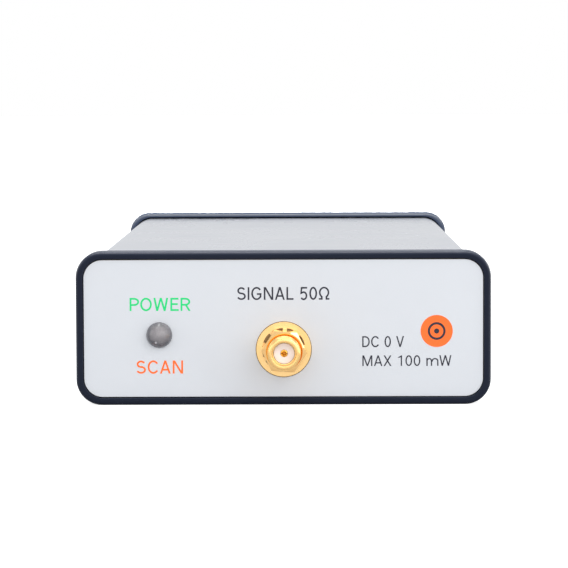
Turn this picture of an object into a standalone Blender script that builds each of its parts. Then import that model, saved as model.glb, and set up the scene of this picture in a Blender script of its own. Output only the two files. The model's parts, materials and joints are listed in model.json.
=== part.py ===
"""Bench RF analyzer in a slide-together extruded aluminium case.

An extruded channel and a belly plate that slides into it form the case.
Each end is closed by a moulded bezel and an aluminium panel, held by four
countersunk screws that run into bosses in the channel.  One board slides
into the card guides; its edge carries the threaded coaxial input jack and
the status lamp at the front, and the data socket and trigger jack at the
rear.

Millimetres throughout, turned to metres where the points are made.
X is to the right seen from the front, Y runs from front to rear, Z is up.
Case coordinates put Y = 0 at the front of the front bezel; the whole
assembly hangs from one empty that centres it on the origin.
"""

import math

import bmesh
import bpy
from mathutils import Matrix, Vector

MM = 0.001

# ------------------------------------------------------------ driving sizes
# case
BEZEL_W, BEZEL_H, BEZEL_R, BEZEL_DEPTH = 80.4, 29.8, 5.0, 6.0
CASE_W, CASE_H, CASE_R, CASE_LEN = 78.0, 27.0, 4.5, 160.0
CASE_Z = BEZEL_H / 2  # height of the case centre above the base
TOP_WALL, SIDE_WALL = 1.6, 1.7
OPEN_W, OPEN_H, OPEN_R = 77.6, 26.9, 3.75  # what the bezel leaves of the panel
PANEL_T, LABEL_T, GAP = 1.5, 0.22, 0.1
LABEL_Y = 0.40
PANEL_Y = LABEL_Y + LABEL_T + GAP
WEB_Y = PANEL_Y + PANEL_T + GAP
WEB_T = 1.6
CASE_Y = WEB_Y + WEB_T + GAP  # front end of the extrusion
CASE_END = CASE_Y + CASE_LEN
LENGTH = CASE_END + CASE_Y  # front bezel to rear bezel
SCREW_X, SCREW_DZ = 34.8, 8.9
SCREWS = [(sx * SCREW_X, CASE_Z + sz * SCREW_DZ) for sx in (-1, 1) for sz in (-1, 1)]

# threaded coaxial input jack, 1/4-36 thread
RF_X, RF_Z = 0.18, 10.78
RF_TIP = -9.4
WASHER_X, WASHER_Z = 0.06, 10.80  # the lock washer lies a little off the thread's axis
RF_R = 3.175
# status lamp, 5 mm
LAMP_X, LAMP_Z, LAMP_R = -24.05, 13.62, 2.47
LAMP_TIP = -2.05
# board
BOARD_TOP, BOARD_T = 10.1, 1.6
BOARD_X = 36.9
BOARD_Y0, BOARD_Y1 = 5.6, 160.0
# rear sockets
USB_X, USB_W, USB_H = -20.0, 12.0, 11.0
USB_Z = BOARD_TOP + 0.15 + USB_H / 2
USB_Y0, USB_Y1 = 152.0, LENGTH - 0.15
TRIG_X, TRIG_Z = 18.0, 17.2
TRIG_TIP = 181.2

Y_MID = (RF_TIP + TRIG_TIP) / 2

# ------------------------------------------------------------- scene set-up
for old in list(bpy.data.objects):
    bpy.data.objects.remove(old, do_unlink=True)

scene = bpy.context.scene
scene.unit_settings.system = "METRIC"
scene.unit_settings.scale_length = 1.0

parts = bpy.data.collections.new("rf_analyzer")
cutters = bpy.data.collections.new("cutters")
scene.collection.children.link(parts)
scene.collection.children.link(cutters)

origin = bpy.data.objects.new("assembly_origin", None)
origin.location = (0, -Y_MID * MM, 0)
parts.objects.link(origin)


def material(name, colour, rough, metal=0.0):
    m = bpy.data.materials.new(name)
    m.use_nodes = True
    b = m.node_tree.nodes["Principled BSDF"]
    b.inputs["Base Color"].default_value = (*colour, 1)
    b.inputs["Roughness"].default_value = rough
    b.inputs["Metallic"].default_value = metal
    m.diffuse_color = (*colour, 1)
    return m


ALU = material("anodised_aluminium", (0.72, 0.73, 0.76), 0.42, 1.0)
PANEL = material("panel_aluminium", (0.70, 0.71, 0.73), 0.40, 1.0)
BEZEL = material("bezel_plastic", (0.022, 0.027, 0.038), 0.50)
LABEL = material("label_film", (0.74, 0.77, 0.81), 0.38)
GOLD = material("gold_plate", (0.93, 0.65, 0.24), 0.22, 1.0)
NICKEL = material("nickel_plate", (0.66, 0.65, 0.62), 0.25, 1.0)
STEEL = material("screw_steel", (0.30, 0.31, 0.33), 0.35, 1.0)
PTFE = material("ptfe", (0.88, 0.85, 0.84), 0.45)
LENS = material("lamp_epoxy", (0.30, 0.29, 0.31), 0.25)
BLACK = material("black_moulding", (0.02, 0.02, 0.022), 0.5)
BOARD = material("board_laminate", (0.02, 0.16, 0.08), 0.4)
CHIP = material("chip_mould", (0.03, 0.03, 0.035), 0.6)
TIN = material("shield_tinplate", (0.62, 0.63, 0.65), 0.32, 1.0)
COPPER = material("inductor_ferrite", (0.12, 0.12, 0.13), 0.7)
PAD = material("thermal_pad", (0.42, 0.50, 0.62), 0.85)


# ------------------------------------------------------------------ helpers
def finish(obj, mat=None, helper=False):
    """Puts an object in its collection, under the assembly's empty."""
    (cutters if helper else parts).objects.link(obj)
    obj.parent = origin
    if helper:
        obj.hide_render = True
        obj.display_type = "WIRE"
    elif mat is not None:
        obj.data.materials.clear()
        obj.data.materials.append(mat)
    return obj


def circle(cx, cz, r, n=24, turn=0.0):
    return [
        (cx + r * math.cos(turn + 2 * math.pi * i / n), cz + r * math.sin(turn + 2 * math.pi * i / n))
        for i in range(n)
    ]


def rounded(corners, steps=6):
    """Outline through (x, z, radius) corners, each radius turned as an arc."""
    out = []
    n = len(corners)
    for i, (x, z, r) in enumerate(corners):
        p = Vector((x, z))
        a = Vector(corners[i - 1][:2]) - p
        b = Vector(corners[(i + 1) % n][:2]) - p
        if r <= 0:
            out.append((x, z))
            continue
        half = a.angle(b) / 2
        reach = r / math.tan(half)
        centre = p + (a.normalized() + b.normalized()).normalized() * (r / math.sin(half))
        start = p + a.normalized() * reach - centre
        end = p + b.normalized() * reach - centre
        sweep = start.angle_signed(end)
        for k in range(steps + 1):
            # angle_signed is positive clockwise
            t = -sweep * k / steps
            out.append(
                (
                    centre.x + start.x * math.cos(t) - start.y * math.sin(t),
                    centre.y + start.x * math.sin(t) + start.y * math.cos(t),
                )
            )
    return out


def box_loop(cx, cz, w, h, r=0.0, steps=6):
    x, z = w / 2, h / 2
    return rounded(
        [(cx - x, cz - z, r), (cx + x, cz - z, r), (cx + x, cz + z, r), (cx - x, cz + z, r)],
        steps,
    )


def extruded(name, loops, a0, a1, mat=None, along="Y", helper=False):
    """A flat outline (first loop) with holes (the others), filled and extruded from a0 to a1."""
    curve = bpy.data.curves.new(name + "_outline", "CURVE")
    curve.dimensions = "2D"
    curve.fill_mode = "BOTH"
    curve.extrude = (a1 - a0) / 2 * MM
    for loop in loops:
        s = curve.splines.new("POLY")
        s.points.add(len(loop) - 1)
        for p, (u, v) in zip(s.points, loop):
            p.co = (u * MM, v * MM, 0, 1)
        s.use_cyclic_u = True
    flat = bpy.data.objects.new(name + "_outline", curve)
    scene.collection.objects.link(flat)
    bpy.context.view_layer.update()
    mesh = bpy.data.meshes.new_from_object(flat.evaluated_get(bpy.context.evaluated_depsgraph_get()))
    bpy.data.objects.remove(flat, do_unlink=True)
    mid = (a0 + a1) / 2 * MM
    if along == "Y":
        # outline's x, y become X, Z; its thickness runs along Y
        place = Matrix.Translation((0, mid, 0)) @ Matrix.Rotation(math.pi / 2, 4, "X")
    elif along == "X":
        # outline's x, y become Y, Z; its thickness runs along X
        place = Matrix.Translation((mid, 0, 0)) @ Matrix(((0, 0, 1, 0), (1, 0, 0, 0), (0, 1, 0, 0), (0, 0, 0, 1)))
    else:
        place = Matrix.Translation((0, 0, mid))
    bm = bmesh.new()
    bm.from_mesh(mesh)
    bmesh.ops.transform(bm, matrix=place, verts=bm.verts)
    bmesh.ops.remove_doubles(bm, verts=bm.verts, dist=1e-6)
    bmesh.ops.dissolve_degenerate(bm, edges=bm.edges, dist=1e-7)
    bmesh.ops.recalc_face_normals(bm, faces=bm.faces)
    bm.to_mesh(mesh)
    bm.free()
    mesh.name = name
    return finish(bpy.data.objects.new(name, mesh), mat, helper)


def turned(name, profile, x, y, z, steps, mat=None, to_front=True, closed=False, helper=False):
    """A profile of (radius, distance) turned about an axis along Y with the Screw modifier.

    The distance runs towards the front, or towards the rear when to_front is False.
    An open profile runs from the axis down its outer side to the axis; a closed one
    makes a sleeve.
    """
    mesh = bpy.data.meshes.new(name)
    n = len(profile)
    edges = [(i, i + 1) for i in range(n - 1)] + ([(n - 1, 0)] if closed else [])
    mesh.from_pydata([(r * MM, 0, d * MM) for r, d in profile], edges, [])
    obj = finish(bpy.data.objects.new(name, mesh), mat, helper)
    obj.location = (x * MM, y * MM, z * MM)
    obj.rotation_euler = (math.pi / 2 if to_front else -math.pi / 2, 0, 0)
    spin = obj.modifiers.new("turn", "SCREW")
    spin.axis = "Z"
    spin.angle = 2 * math.pi
    spin.steps = spin.render_steps = steps
    spin.use_merge_vertices = True
    spin.merge_threshold = 1e-6
    spin.use_smooth_shade = True
    return obj


def block(name, x, y, z, mat=None, bevel=0.0, segments=2, helper=False):
    """A box between two limits on each axis, with its edges bevelled."""
    bm = bmesh.new()
    bmesh.ops.create_cube(bm, size=1.0)
    bmesh.ops.scale(bm, vec=((x[1] - x[0]) * MM, (y[1] - y[0]) * MM, (z[1] - z[0]) * MM), verts=bm.verts)
    mesh = bpy.data.meshes.new(name)
    bm.to_mesh(mesh)
    bm.free()
    obj = finish(bpy.data.objects.new(name, mesh), mat, helper)
    obj.location = ((x[0] + x[1]) / 2 * MM, (y[0] + y[1]) / 2 * MM, (z[0] + z[1]) / 2 * MM)
    if bevel:
        b = obj.modifiers.new("edge", "BEVEL")
        b.width = bevel * MM
        b.segments = segments
        b.limit_method = "ANGLE"
    return obj


def combine(obj, other, operation="DIFFERENCE"):
    m = obj.modifiers.new(operation.lower(), "BOOLEAN")
    m.operation = operation
    m.solver = "EXACT"
    m.object = other
    return obj


def upright(name, r, z0, z1, x, y, n, mat=None, helper=False, r_top=None):
    """A cylinder or cone about a vertical axis."""
    bm = bmesh.new()
    bmesh.ops.create_cone(
        bm, cap_ends=True, segments=n, radius1=r * MM, radius2=(r if r_top is None else r_top) * MM, depth=(z1 - z0) * MM
    )
    mesh = bpy.data.meshes.new(name)
    bm.to_mesh(mesh)
    bm.free()
    obj = finish(bpy.data.objects.new(name, mesh), mat, helper)
    obj.location = (x * MM, y * MM, (z0 + z1) / 2 * MM)
    return obj


def baked(obj):
    """The object's evaluated mesh, to be shared by its copies; the object itself is removed."""
    bpy.context.view_layer.update()
    mesh = bpy.data.meshes.new_from_object(obj.evaluated_get(bpy.context.evaluated_depsgraph_get()))
    bpy.data.objects.remove(obj, do_unlink=True)
    return mesh


# ------------------------------------------------------------ case extrusion
def channel_outline():
    """Section of the extruded channel: roof, sides, card guides, screw bosses and the two lips that hold the belly plate."""
    x0, z0, z1 = CASE_W / 2, CASE_Z - CASE_H / 2, CASE_Z + CASE_H / 2
    wall = x0 - SIDE_WALL
    roof = z1 - TOP_WALL
    half = [
        (x0, z1, CASE_R),
        (x0, z0, CASE_R),
        (31.8, z0, 0),
        (31.8, 2.15, 0),
        (34.2, 2.15, 0),
        (34.2, 4.05, 0),
        (31.8, 4.05, 0),
        (31.8, 4.90, 0),
        (32.6, 7.30, 0.6),
        (34.2, BOARD_TOP - BOARD_T - 0.15, 0.6),
        (wall, BOARD_TOP - BOARD_T - 0.15, 0),
        (wall, BOARD_TOP + 0.15, 0),
        (35.2, BOARD_TOP + 0.15, 0),
        (35.2, BOARD_TOP + 1.45, 0),
        (wall, BOARD_TOP + 1.45, 0),
        (wall, 15.4, 0),
        (35.6, 15.4, 0),
        (35.6, 16.5, 0),
        (wall, 16.5, 0),
        (wall, 18.4, 0),
        (35.6, 18.4, 0),
        (35.6, 19.5, 0),
        (wall, 19.5, 0),
        (wall, 20.9, 0),
        (34.0, 21.2, 1.0),
        (32.3, 22.8, 1.0),
        (32.0, roof, 0),
    ]
    other = [(-x, z, r) for x, z, r in reversed(half)]
    return rounded(half + other, 5)


extruded(
    "case_extrusion",
    [channel_outline()] + [circle(x, z, 1.35, 12) for x, z in SCREWS],
    CASE_Y,
    CASE_END,
    ALU,
)


def belly_outline():
    """Section of the belly plate: a flat floor with a raised tongue along each edge."""
    half = [
        (31.5, 1.5, 0),
        (31.5, 2.3, 0),
        (33.9, 2.3, 0),
        (33.9, 3.9, 0),
        (30.2, 3.9, 0),
        (29.4, 3.1, 0),
    ]
    return rounded(half + [(-x, z, r) for x, z, r in reversed(half)], 1)


extruded("belly_plate", [belly_outline()], CASE_Y + 0.1, CASE_END - 0.1, ALU)


# -------------------------------------------------------------------- bezels
def bezel(name, rear):
    """A moulded frame: rounded rim, recess for the panel, web with four screw holes, and a skirt over the extrusion."""
    n = 7

    def span(a, b):
        return (LENGTH - b, LENGTH - a) if rear else (a, b)

    loop = box_loop(0, CASE_Z, BEZEL_W, BEZEL_H, BEZEL_R, n)
    body = extruded(name, [loop], *span(0, BEZEL_DEPTH), BEZEL)
    bm = bmesh.new()
    bm.from_mesh(body.data)
    for y, width, segs in ((span(0, 0)[0], 1.15, 4), (span(BEZEL_DEPTH, BEZEL_DEPTH)[0], 0.4, 1)):
        rim = [
            e
            for e in bm.edges
            if all(abs(v.co.y - y * MM) < 1e-6 for v in e.verts) and e.calc_face_angle(0) > 1.0
        ]
        bmesh.ops.bevel(bm, geom=rim, offset=width * MM, segments=segs, profile=0.5, affect="EDGES", clamp_overlap=False)
    bmesh.ops.recalc_face_normals(bm, faces=bm.faces)
    bm.to_mesh(body.data)
    bm.free()
    recess = extruded(
        name + "_recess", [box_loop(0, CASE_Z, OPEN_W, OPEN_H, OPEN_R, n)], *span(-1, WEB_Y), along="Y", helper=True
    )
    skirt = extruded(
        name + "_skirt",
        [box_loop(0, CASE_Z, CASE_W + 0.5, CASE_H + 0.5, CASE_R + 0.25, n)],
        *span(WEB_Y + WEB_T, BEZEL_DEPTH + 1),
        along="Y",
        helper=True,
    )
    window = extruded(
        name + "_window",
        [
            rounded(
                [
                    (-36.8, CASE_Z - 4.2, 0),
                    (-30.6, CASE_Z - 4.2, 0),
                    (-30.6, CASE_Z - 11.2, 0),
                    (30.6, CASE_Z - 11.2, 0),
                    (30.6, CASE_Z - 4.2, 0),
                    (36.8, CASE_Z - 4.2, 0),
                    (36.8, CASE_Z + 4.2, 0),
                    (30.6, CASE_Z + 4.2, 0),
                    (30.6, CASE_Z + 11.2, 0),
                    (-30.6, CASE_Z + 11.2, 0),
                    (-30.6, CASE_Z + 4.2, 0),
                    (-36.8, CASE_Z + 4.2, 0),
                ]
            )
        ],
        *span(1, BEZEL_DEPTH + 2),
        along="Y",
        helper=True,
    )
    for tool in (recess, skirt, window):
        combine(body, tool)
    for i, (x, z) in enumerate(SCREWS):
        combine(body, extruded(f"{name}_hole_{i}", [circle(x, z, 1.6, 12)], *span(1, BEZEL_DEPTH + 1), helper=True))
    return body


bezel("front_bezel", False)
bezel("rear_bezel", True)


# -------------------------------------------------------------------- panels
def panel(name, y0, outer_face, holes):
    """An aluminium end plate with its holes, countersunk on the outer face for the four screws."""
    plate = extruded(
        name,
        [box_loop(0, CASE_Z, OPEN_W - 0.3, OPEN_H - 0.3, OPEN_R - 0.15, 6)] + holes + [circle(x, z, 1.6, 16) for x, z in SCREWS],
        y0,
        y0 + PANEL_T,
        PANEL,
    )
    for i, (x, z) in enumerate(SCREWS):
        bm = bmesh.new()
        bmesh.ops.create_cone(bm, cap_ends=True, segments=16, radius1=3.05 * MM, radius2=1.35 * MM, depth=1.7 * MM)
        mesh = bpy.data.meshes.new(f"{name}_sink_{i}")
        bm.to_mesh(mesh)
        bm.free()
        sink = finish(bpy.data.objects.new(f"{name}_sink_{i}", mesh), helper=True)
        front = outer_face < y0 + PANEL_T / 2
        sink.location = (x * MM, (outer_face + (0.6 if front else -0.6)) * MM, z * MM)
        sink.rotation_euler = (-math.pi / 2 if front else math.pi / 2, 0, 0)
        combine(plate, sink)
    return plate


RF_HOLE = circle(RF_X, RF_Z, 3.3, 24)
LAMP_HOLE = circle(LAMP_X, LAMP_Z, 2.62, 24)
USB_HOLE = box_loop(USB_X, USB_Z, USB_W + 0.6, USB_H + 0.6)
TRIG_HOLE = circle(TRIG_X, TRIG_Z, 6.35, 32)

panel("front_panel", PANEL_Y, PANEL_Y, [LAMP_HOLE, RF_HOLE])
REAR_PANEL_Y = LENGTH - PANEL_Y - PANEL_T
panel("rear_panel", REAR_PANEL_Y, LENGTH - PANEL_Y, [USB_HOLE, TRIG_HOLE])

LABEL_LOOP = box_loop(0, CASE_Z, OPEN_W - 0.36, OPEN_H - 0.36, OPEN_R - 0.18, 6)
extruded(
    "front_label",
    [LABEL_LOOP, circle(LAMP_X, LAMP_Z, 2.56, 24), circle(WASHER_X, WASHER_Z, 5.44, 32)],
    LABEL_Y,
    LABEL_Y + LABEL_T,
    LABEL,
)
extruded(
    "rear_label",
    [LABEL_LOOP, box_loop(USB_X, USB_Z, USB_W + 0.9, USB_H + 0.9), circle(TRIG_X, TRIG_Z, 6.6, 32)]
    + [circle(x, z, 3.15, 16) for x, z in SCREWS],
    LENGTH - LABEL_Y - LABEL_T,
    LENGTH - LABEL_Y,
    LABEL,
)


# --------------------------------------------------------------- end screws
def cross_recess(obj, at, width=0.55, reach=1.45, depth=1.0):
    """Cuts a cross recess into a screw that points along local Z, in the head's face at height `at`."""
    for k in range(2):
        bm = bmesh.new()
        bmesh.ops.create_cube(bm, size=1.0)
        size = (2 * reach, width, 2 * depth) if k == 0 else (width, 2 * reach, 2 * depth)
        bmesh.ops.scale(bm, vec=[s * MM for s in size], verts=bm.verts)
        mesh = bpy.data.meshes.new(obj.name + f"_cross_{k}")
        bm.to_mesh(mesh)
        bm.free()
        tool = finish(bpy.data.objects.new(obj.name + f"_cross_{k}", mesh), helper=True)
        tool.matrix_world = obj.matrix_world @ Matrix.Translation((0, 0, at * MM))
        tool.parent = None
        combine(obj, tool)


def end_screw_mesh():
    """Countersunk screw, its head's face at the local origin and its shank along -Z."""
    obj = turned(
        "end_screw",
        [(0, 0), (2.4, 0), (2.43, -0.1), (1.18, -1.35), (1.18, -9.0), (0.55, -9.9), (0, -9.9)],
        0,
        0,
        0,
        16,
    )
    obj.parent = None
    obj.rotation_euler = (0, 0, 0)
    bpy.context.view_layer.update()
    cross_recess(obj, 0)
    return baked(obj)


END_SCREW = end_screw_mesh()
for end in ("front", "rear"):
    for i, (x, z) in enumerate(SCREWS, 1):
        screw = finish(bpy.data.objects.new(f"{end}_screw_{i}", END_SCREW), STEEL)
        y = PANEL_Y + 0.12 if end == "front" else LENGTH - PANEL_Y - 0.12
        screw.location = (x * MM, y * MM, z * MM)
        screw.rotation_euler = (math.pi / 2 if end == "front" else -math.pi / 2, math.radians(13 * i), 0)
        screw.rotation_mode = "XYZ"


# ------------------------------------------------------ coaxial input jack
FLANGE_Y0, FLANGE_Y1 = PANEL_Y + PANEL_T + 0.13, PANEL_Y + PANEL_T + 1.73
tip = -RF_TIP
jack = turned(
    "input_jack_body",
    [
        (2.35, tip),
        (2.82, tip),
        (RF_R, tip - 0.38),
        (RF_R, -FLANGE_Y0 - 0.4),
        (2.06, -FLANGE_Y0 - 0.4),
        (2.06, tip - 1.9),
        (2.3, tip - 1.9),
        (2.3, tip - 0.05),
    ],
    RF_X,
    0,
    RF_Z,
    32,
    GOLD,
    closed=True,
)
flange = extruded(
    "input_jack_flange", [box_loop(RF_X, RF_Z, 9.6, 8.0, 0.5, 2), circle(RF_X, RF_Z, 2.06, 32)], FLANGE_Y0, FLANGE_Y1, helper=True
)
combine(jack, flange, "UNION")
for i, (sx, z0, z1) in enumerate(
    [(-1, BOARD_TOP + 0.12, BOARD_TOP + 1.15), (1, BOARD_TOP + 0.12, BOARD_TOP + 1.15)]
    + [(-1, BOARD_TOP - BOARD_T - 1.15, BOARD_TOP - BOARD_T - 0.12), (1, BOARD_TOP - BOARD_T - 1.15, BOARD_TOP - BOARD_T - 0.12)]
):
    x = RF_X + sx * 3.6
    combine(
        jack,
        block(f"input_jack_leg_{i}", (x - 0.5, x + 0.5), (FLANGE_Y1 - 0.5, FLANGE_Y1 + 5.0), (z0, z1), helper=True),
        "UNION",
    )

turned(
    "input_jack_dielectric",
    [(0.72, tip - 1.95), (1.99, tip - 1.95), (1.99, -FLANGE_Y1), (0.72, -FLANGE_Y1)],
    RF_X,
    0,
    RF_Z,
    24,
    PTFE,
    closed=True,
)
contact = turned(
    "input_jack_contact",
    [
        (0, tip - 5.2),
        (0.47, tip - 4.9),
        (0.47, tip - 2.02),
        (0.62, tip - 1.97),
        (0.62, -FLANGE_Y1 - 0.4),
        (0.38, -FLANGE_Y1 - 0.8),
        (0.38, -10.2),
        (0, -10.2),
    ],
    RF_X,
    0,
    RF_Z,
    16,
    GOLD,
)
for k, (w, h) in enumerate(((2.0, 0.16), (0.16, 2.0))):
    combine(
        contact,
        block(
            f"contact_slot_{k}",
            (RF_X - w / 2, RF_X + w / 2),
            (RF_TIP + 1.5, RF_TIP + 4.6),
            (RF_Z - h / 2, RF_Z + h / 2),
            helper=True,
        ),
    )


def hexagon(cx, cz, flats, turn=0.0):
    r = flats / 2 / math.cos(math.pi / 6)
    return [(cx + r * math.cos(turn + math.pi / 3 * i), cz + r * math.sin(turn + math.pi / 3 * i)) for i in range(6)]


def toothed_washer(cx, cz, outer, root, tip_r, teeth, turn, n=48):
    """Internal-tooth lock washer: a plain ring whose inner edge steps between slot roots and teeth."""
    inner = []
    for t in range(teeth):
        a = turn + 2 * math.pi * t / teeth
        step = 2 * math.pi / teeth
        for f, r in ((-0.30, root), (-0.10, root), (0.10, root), (0.30, root), (0.36, tip_r), (0.5, tip_r), (0.64, tip_r)):
            inner.append((cx + r * math.cos(a + f * step), cz + r * math.sin(a + f * step)))
    return [circle(cx, cz, outer, n), inner]


WASHER_Y0, WASHER_Y1 = 0.12, 0.62
NUT_T = 4.7
extruded(
    "input_jack_lock_washer",
    toothed_washer(WASHER_X, WASHER_Z, 5.3, 4.15, 3.36, 9, math.radians(66.5)),
    WASHER_Y0,
    WASHER_Y1,
    GOLD,
)
nut = extruded(
    "input_jack_nut",
    [hexagon(RF_X, RF_Z, 7.8, math.radians(-4)), circle(RF_X, RF_Z, 3.28, 24)],
    WASHER_Y0 - 0.05 - NUT_T,
    WASHER_Y0 - 0.05,
    GOLD,
)


# ---------------------------------------------------------------- status lamp
dome = [(0, -LAMP_TIP)]
centre = -LAMP_TIP - LAMP_R
for k in range(1, 8):
    a = math.pi / 2 * (1 - k / 7)
    dome.append((LAMP_R * math.cos(a), centre + LAMP_R * math.sin(a)))
LAMP_BACK = 7.3
dome += [(LAMP_R, -LAMP_BACK + 1.0), (2.85, -LAMP_BACK + 1.0), (2.85, -LAMP_BACK), (0, -LAMP_BACK)]
turned("status_lamp", dome, LAMP_X, 0, LAMP_Z, 28, LENS)

HOLDER_Y0 = LAMP_BACK + 0.12
holder = block(
    "status_lamp_holder",
    (LAMP_X - 3.3, LAMP_X + 3.3),
    (HOLDER_Y0, HOLDER_Y0 + 4.6),
    (BOARD_TOP + 0.12, BOARD_TOP + 6.2),
    BLACK,
)
combine(
    holder,
    block(
        "holder_channel",
        (LAMP_X - 2.2, LAMP_X + 2.2),
        (HOLDER_Y0 + 1.0, HOLDER_Y0 + 6),
        (BOARD_TOP - 1, LAMP_Z + 1.3),
        helper=True,
    ),
)
LEAD_Y = HOLDER_Y0 + 2.6
for i in range(3):
    x = LAMP_X + (i - 1) * 1.27
    combine(
        holder,
        extruded(f"holder_hole_{i}", [circle(x, LAMP_Z, 0.42, 10)], HOLDER_Y0 - 1, HOLDER_Y0 + 2, helper=True),
    )
    lead = bpy.data.curves.new(f"status_lamp_lead_{i + 1}", "CURVE")
    lead.dimensions = "3D"
    lead.bevel_depth = 0.25 * MM
    lead.bevel_resolution = 2
    lead.use_fill_caps = True
    path = [(x, LAMP_BACK + 0.1, LAMP_Z), (x, LEAD_Y - 0.9, LAMP_Z)]
    for k in range(1, 5):
        a = math.pi / 2 * k / 4
        path.append((x, LEAD_Y - 0.9 + 0.9 * math.sin(a), LAMP_Z - 0.9 + 0.9 * math.cos(a)))
    path.append((x, LEAD_Y, BOARD_TOP - BOARD_T - 0.9))
    s = lead.splines.new("POLY")
    s.points.add(len(path) - 1)
    for p, c in zip(s.points, path):
        p.co = (c[0] * MM, c[1] * MM, c[2] * MM, 1)
    finish(bpy.data.objects.new(f"status_lamp_lead_{i + 1}", lead), TIN)

# ----------------------------------------------------------------- main board
SHIELD_X, SHIELD_Y0, SHIELD_Y1 = 20.0, 12.0, 66.0
SHIELD_SCREWS = [(sx * 17.3, y) for sx in (-1, 1) for y in (SHIELD_Y0 + 2.7, SHIELD_Y1 - 2.7)]
extruded(
    "main_board",
    [rounded([(-BOARD_X, BOARD_Y0, 0.8), (BOARD_X, BOARD_Y0, 0.8), (BOARD_X, BOARD_Y1, 0.8), (-BOARD_X, BOARD_Y1, 0.8)], 2)]
    + [circle(LAMP_X + (i - 1) * 1.27, LEAD_Y, 0.42, 10) for i in range(3)]
    + [circle(x, y, 1.05, 12) for x, y in SHIELD_SCREWS],
    BOARD_TOP - BOARD_T,
    BOARD_TOP,
    BOARD,
    along="Z",
)

# shield: a fence with two chambers, and a flat lid
Z_FENCE = (BOARD_TOP + 0.12, BOARD_TOP + 6.1)


def chamber(y0, y1, boss_low):
    w, b = SHIELD_X - 1.2, 4.2
    if boss_low:
        pts = [(-w + b, y0), (w - b, y0), (w - b, y0 + b), (w, y0 + b), (w, y1), (-w, y1), (-w, y0 + b), (-w + b, y0 + b)]
    else:
        pts = [(-w, y0), (w, y0), (w, y1 - b), (w - b, y1 - b), (w - b, y1), (-w + b, y1), (-w + b, y1 - b), (-w, y1 - b)]
    return pts


extruded(
    "rf_shield_fence",
    [
        [(-SHIELD_X, SHIELD_Y0), (SHIELD_X, SHIELD_Y0), (SHIELD_X, SHIELD_Y1), (-SHIELD_X, SHIELD_Y1)],
        chamber(SHIELD_Y0 + 1.2, 38.4, True),
        chamber(39.6, SHIELD_Y1 - 1.2, False),
    ]
    + [circle(x, y, 0.95, 12) for x, y in SHIELD_SCREWS],
    *Z_FENCE,
    TIN,
    along="Z",
)
Z_LID = (Z_FENCE[1] + 0.1, Z_FENCE[1] + 0.7)
extruded(
    "rf_shield_lid",
    [box_loop(0, (SHIELD_Y0 + SHIELD_Y1) / 2, 2 * SHIELD_X, SHIELD_Y1 - SHIELD_Y0, 1.0, 2)]
    + [circle(x, y, 1.15, 12) for x, y in SHIELD_SCREWS],
    *Z_LID,
    TIN,
    along="Z",
)


def shield_screw_mesh():
    """Pan-head screw, its head's underside at the local origin."""
    obj = turned(
        "shield_screw",
        [(0, 1.25), (1.2, 1.2), (1.75, 0.75), (1.8, 0.0), (0.85, 0.0), (0.85, -7.4), (0, -7.4)],
        0,
        0,
        0,
        14,
    )
    obj.parent = None
    obj.rotation_euler = (0, 0, 0)
    bpy.context.view_layer.update()
    cross_recess(obj, 1.25, 0.4, 1.0, 0.7)
    return baked(obj)


SHIELD_SCREW = shield_screw_mesh()
for i, (x, y) in enumerate(SHIELD_SCREWS, 1):
    screw = finish(bpy.data.objects.new(f"rf_shield_screw_{i}", SHIELD_SCREW), STEEL)
    screw.location = (x * MM, y * MM, (Z_LID[1] + 0.08) * MM)
    screw.rotation_euler = (0, 0, math.radians(20 * i))

# parts on the board
TOP = BOARD_TOP + 0.12
block("mixer_chip", (-4, 4), (22, 30), (TOP, TOP + 1.3), CHIP, 0.15, 1)
block("band_filter", (-6, 6), (46, 54), (TOP, TOP + 2.6), TIN, 0.3, 1)
block("converter_chip", (4, 16), (74, 86), (TOP, TOP + 1.4), CHIP, 0.15, 1)
block("processor_chip", (-24, -6), (92, 110), (TOP, TOP + 1.7), CHIP, 0.2, 1)
block("usb_controller_chip", (-23, -14), (128, 137), (TOP, TOP + 1.1), CHIP, 0.15, 1)
block("reference_oscillator", (10, 30), (96, 109), (TOP, TOP + 8.0), TIN, 0.6, 2)
block("power_inductor", (20, 30), (124, 134), (TOP, TOP + 4.6), COPPER, 0.8, 2)
for i, y in enumerate((122, 133), 1):
    can = upright(f"bulk_capacitor_{i}", 4.0, TOP, TOP + 7.6, 4, y, 20, TIN)
    b = can.modifiers.new("edge", "BEVEL")
    b.width, b.segments, b.limit_method = 0.4 * MM, 2, "ANGLE"
    b.angle_limit = math.radians(60)
block("thermal_pad", (-25, -5), (91, 111), (3.22, BOARD_TOP - BOARD_T - 0.12), PAD)

# ---------------------------------------------------------------- data socket
extruded(
    "usb_socket_shell",
    [box_loop(USB_X, USB_Z, USB_W, USB_H), box_loop(USB_X, USB_Z, USB_W - 0.9, USB_H - 0.9)],
    USB_Y0,
    USB_Y1,
    NICKEL,
)
insulator = extruded(
    "usb_socket_insulator", [box_loop(USB_X, USB_Z, USB_W - 1.1, USB_H - 1.1)], USB_Y0 + 0.2, USB_Y1 - 0.3, BLACK
)
port = [
    (USB_X - 4.3, USB_Z - 4.0),
    (USB_X + 4.3, USB_Z - 4.0),
    (USB_X + 4.3, USB_Z + 2.1),
    (USB_X + 2.4, USB_Z + 4.0),
    (USB_X - 2.4, USB_Z + 4.0),
    (USB_X - 4.3, USB_Z + 2.1),
]
tongue = box_loop(USB_X, USB_Z, 5.7, 3.2)
combine(insulator, extruded("port_cavity", [port, tongue], USB_Y1 - 10.3, USB_Y1 + 1, helper=True))
combine(
    insulator,
    block(
        "tongue_trim",
        (USB_X - 3.3, USB_X + 3.3),
        (USB_Y1 - 1.3, USB_Y1 + 1),
        (USB_Z - 2.2, USB_Z + 2.2),
        helper=True,
    ),
)
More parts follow.
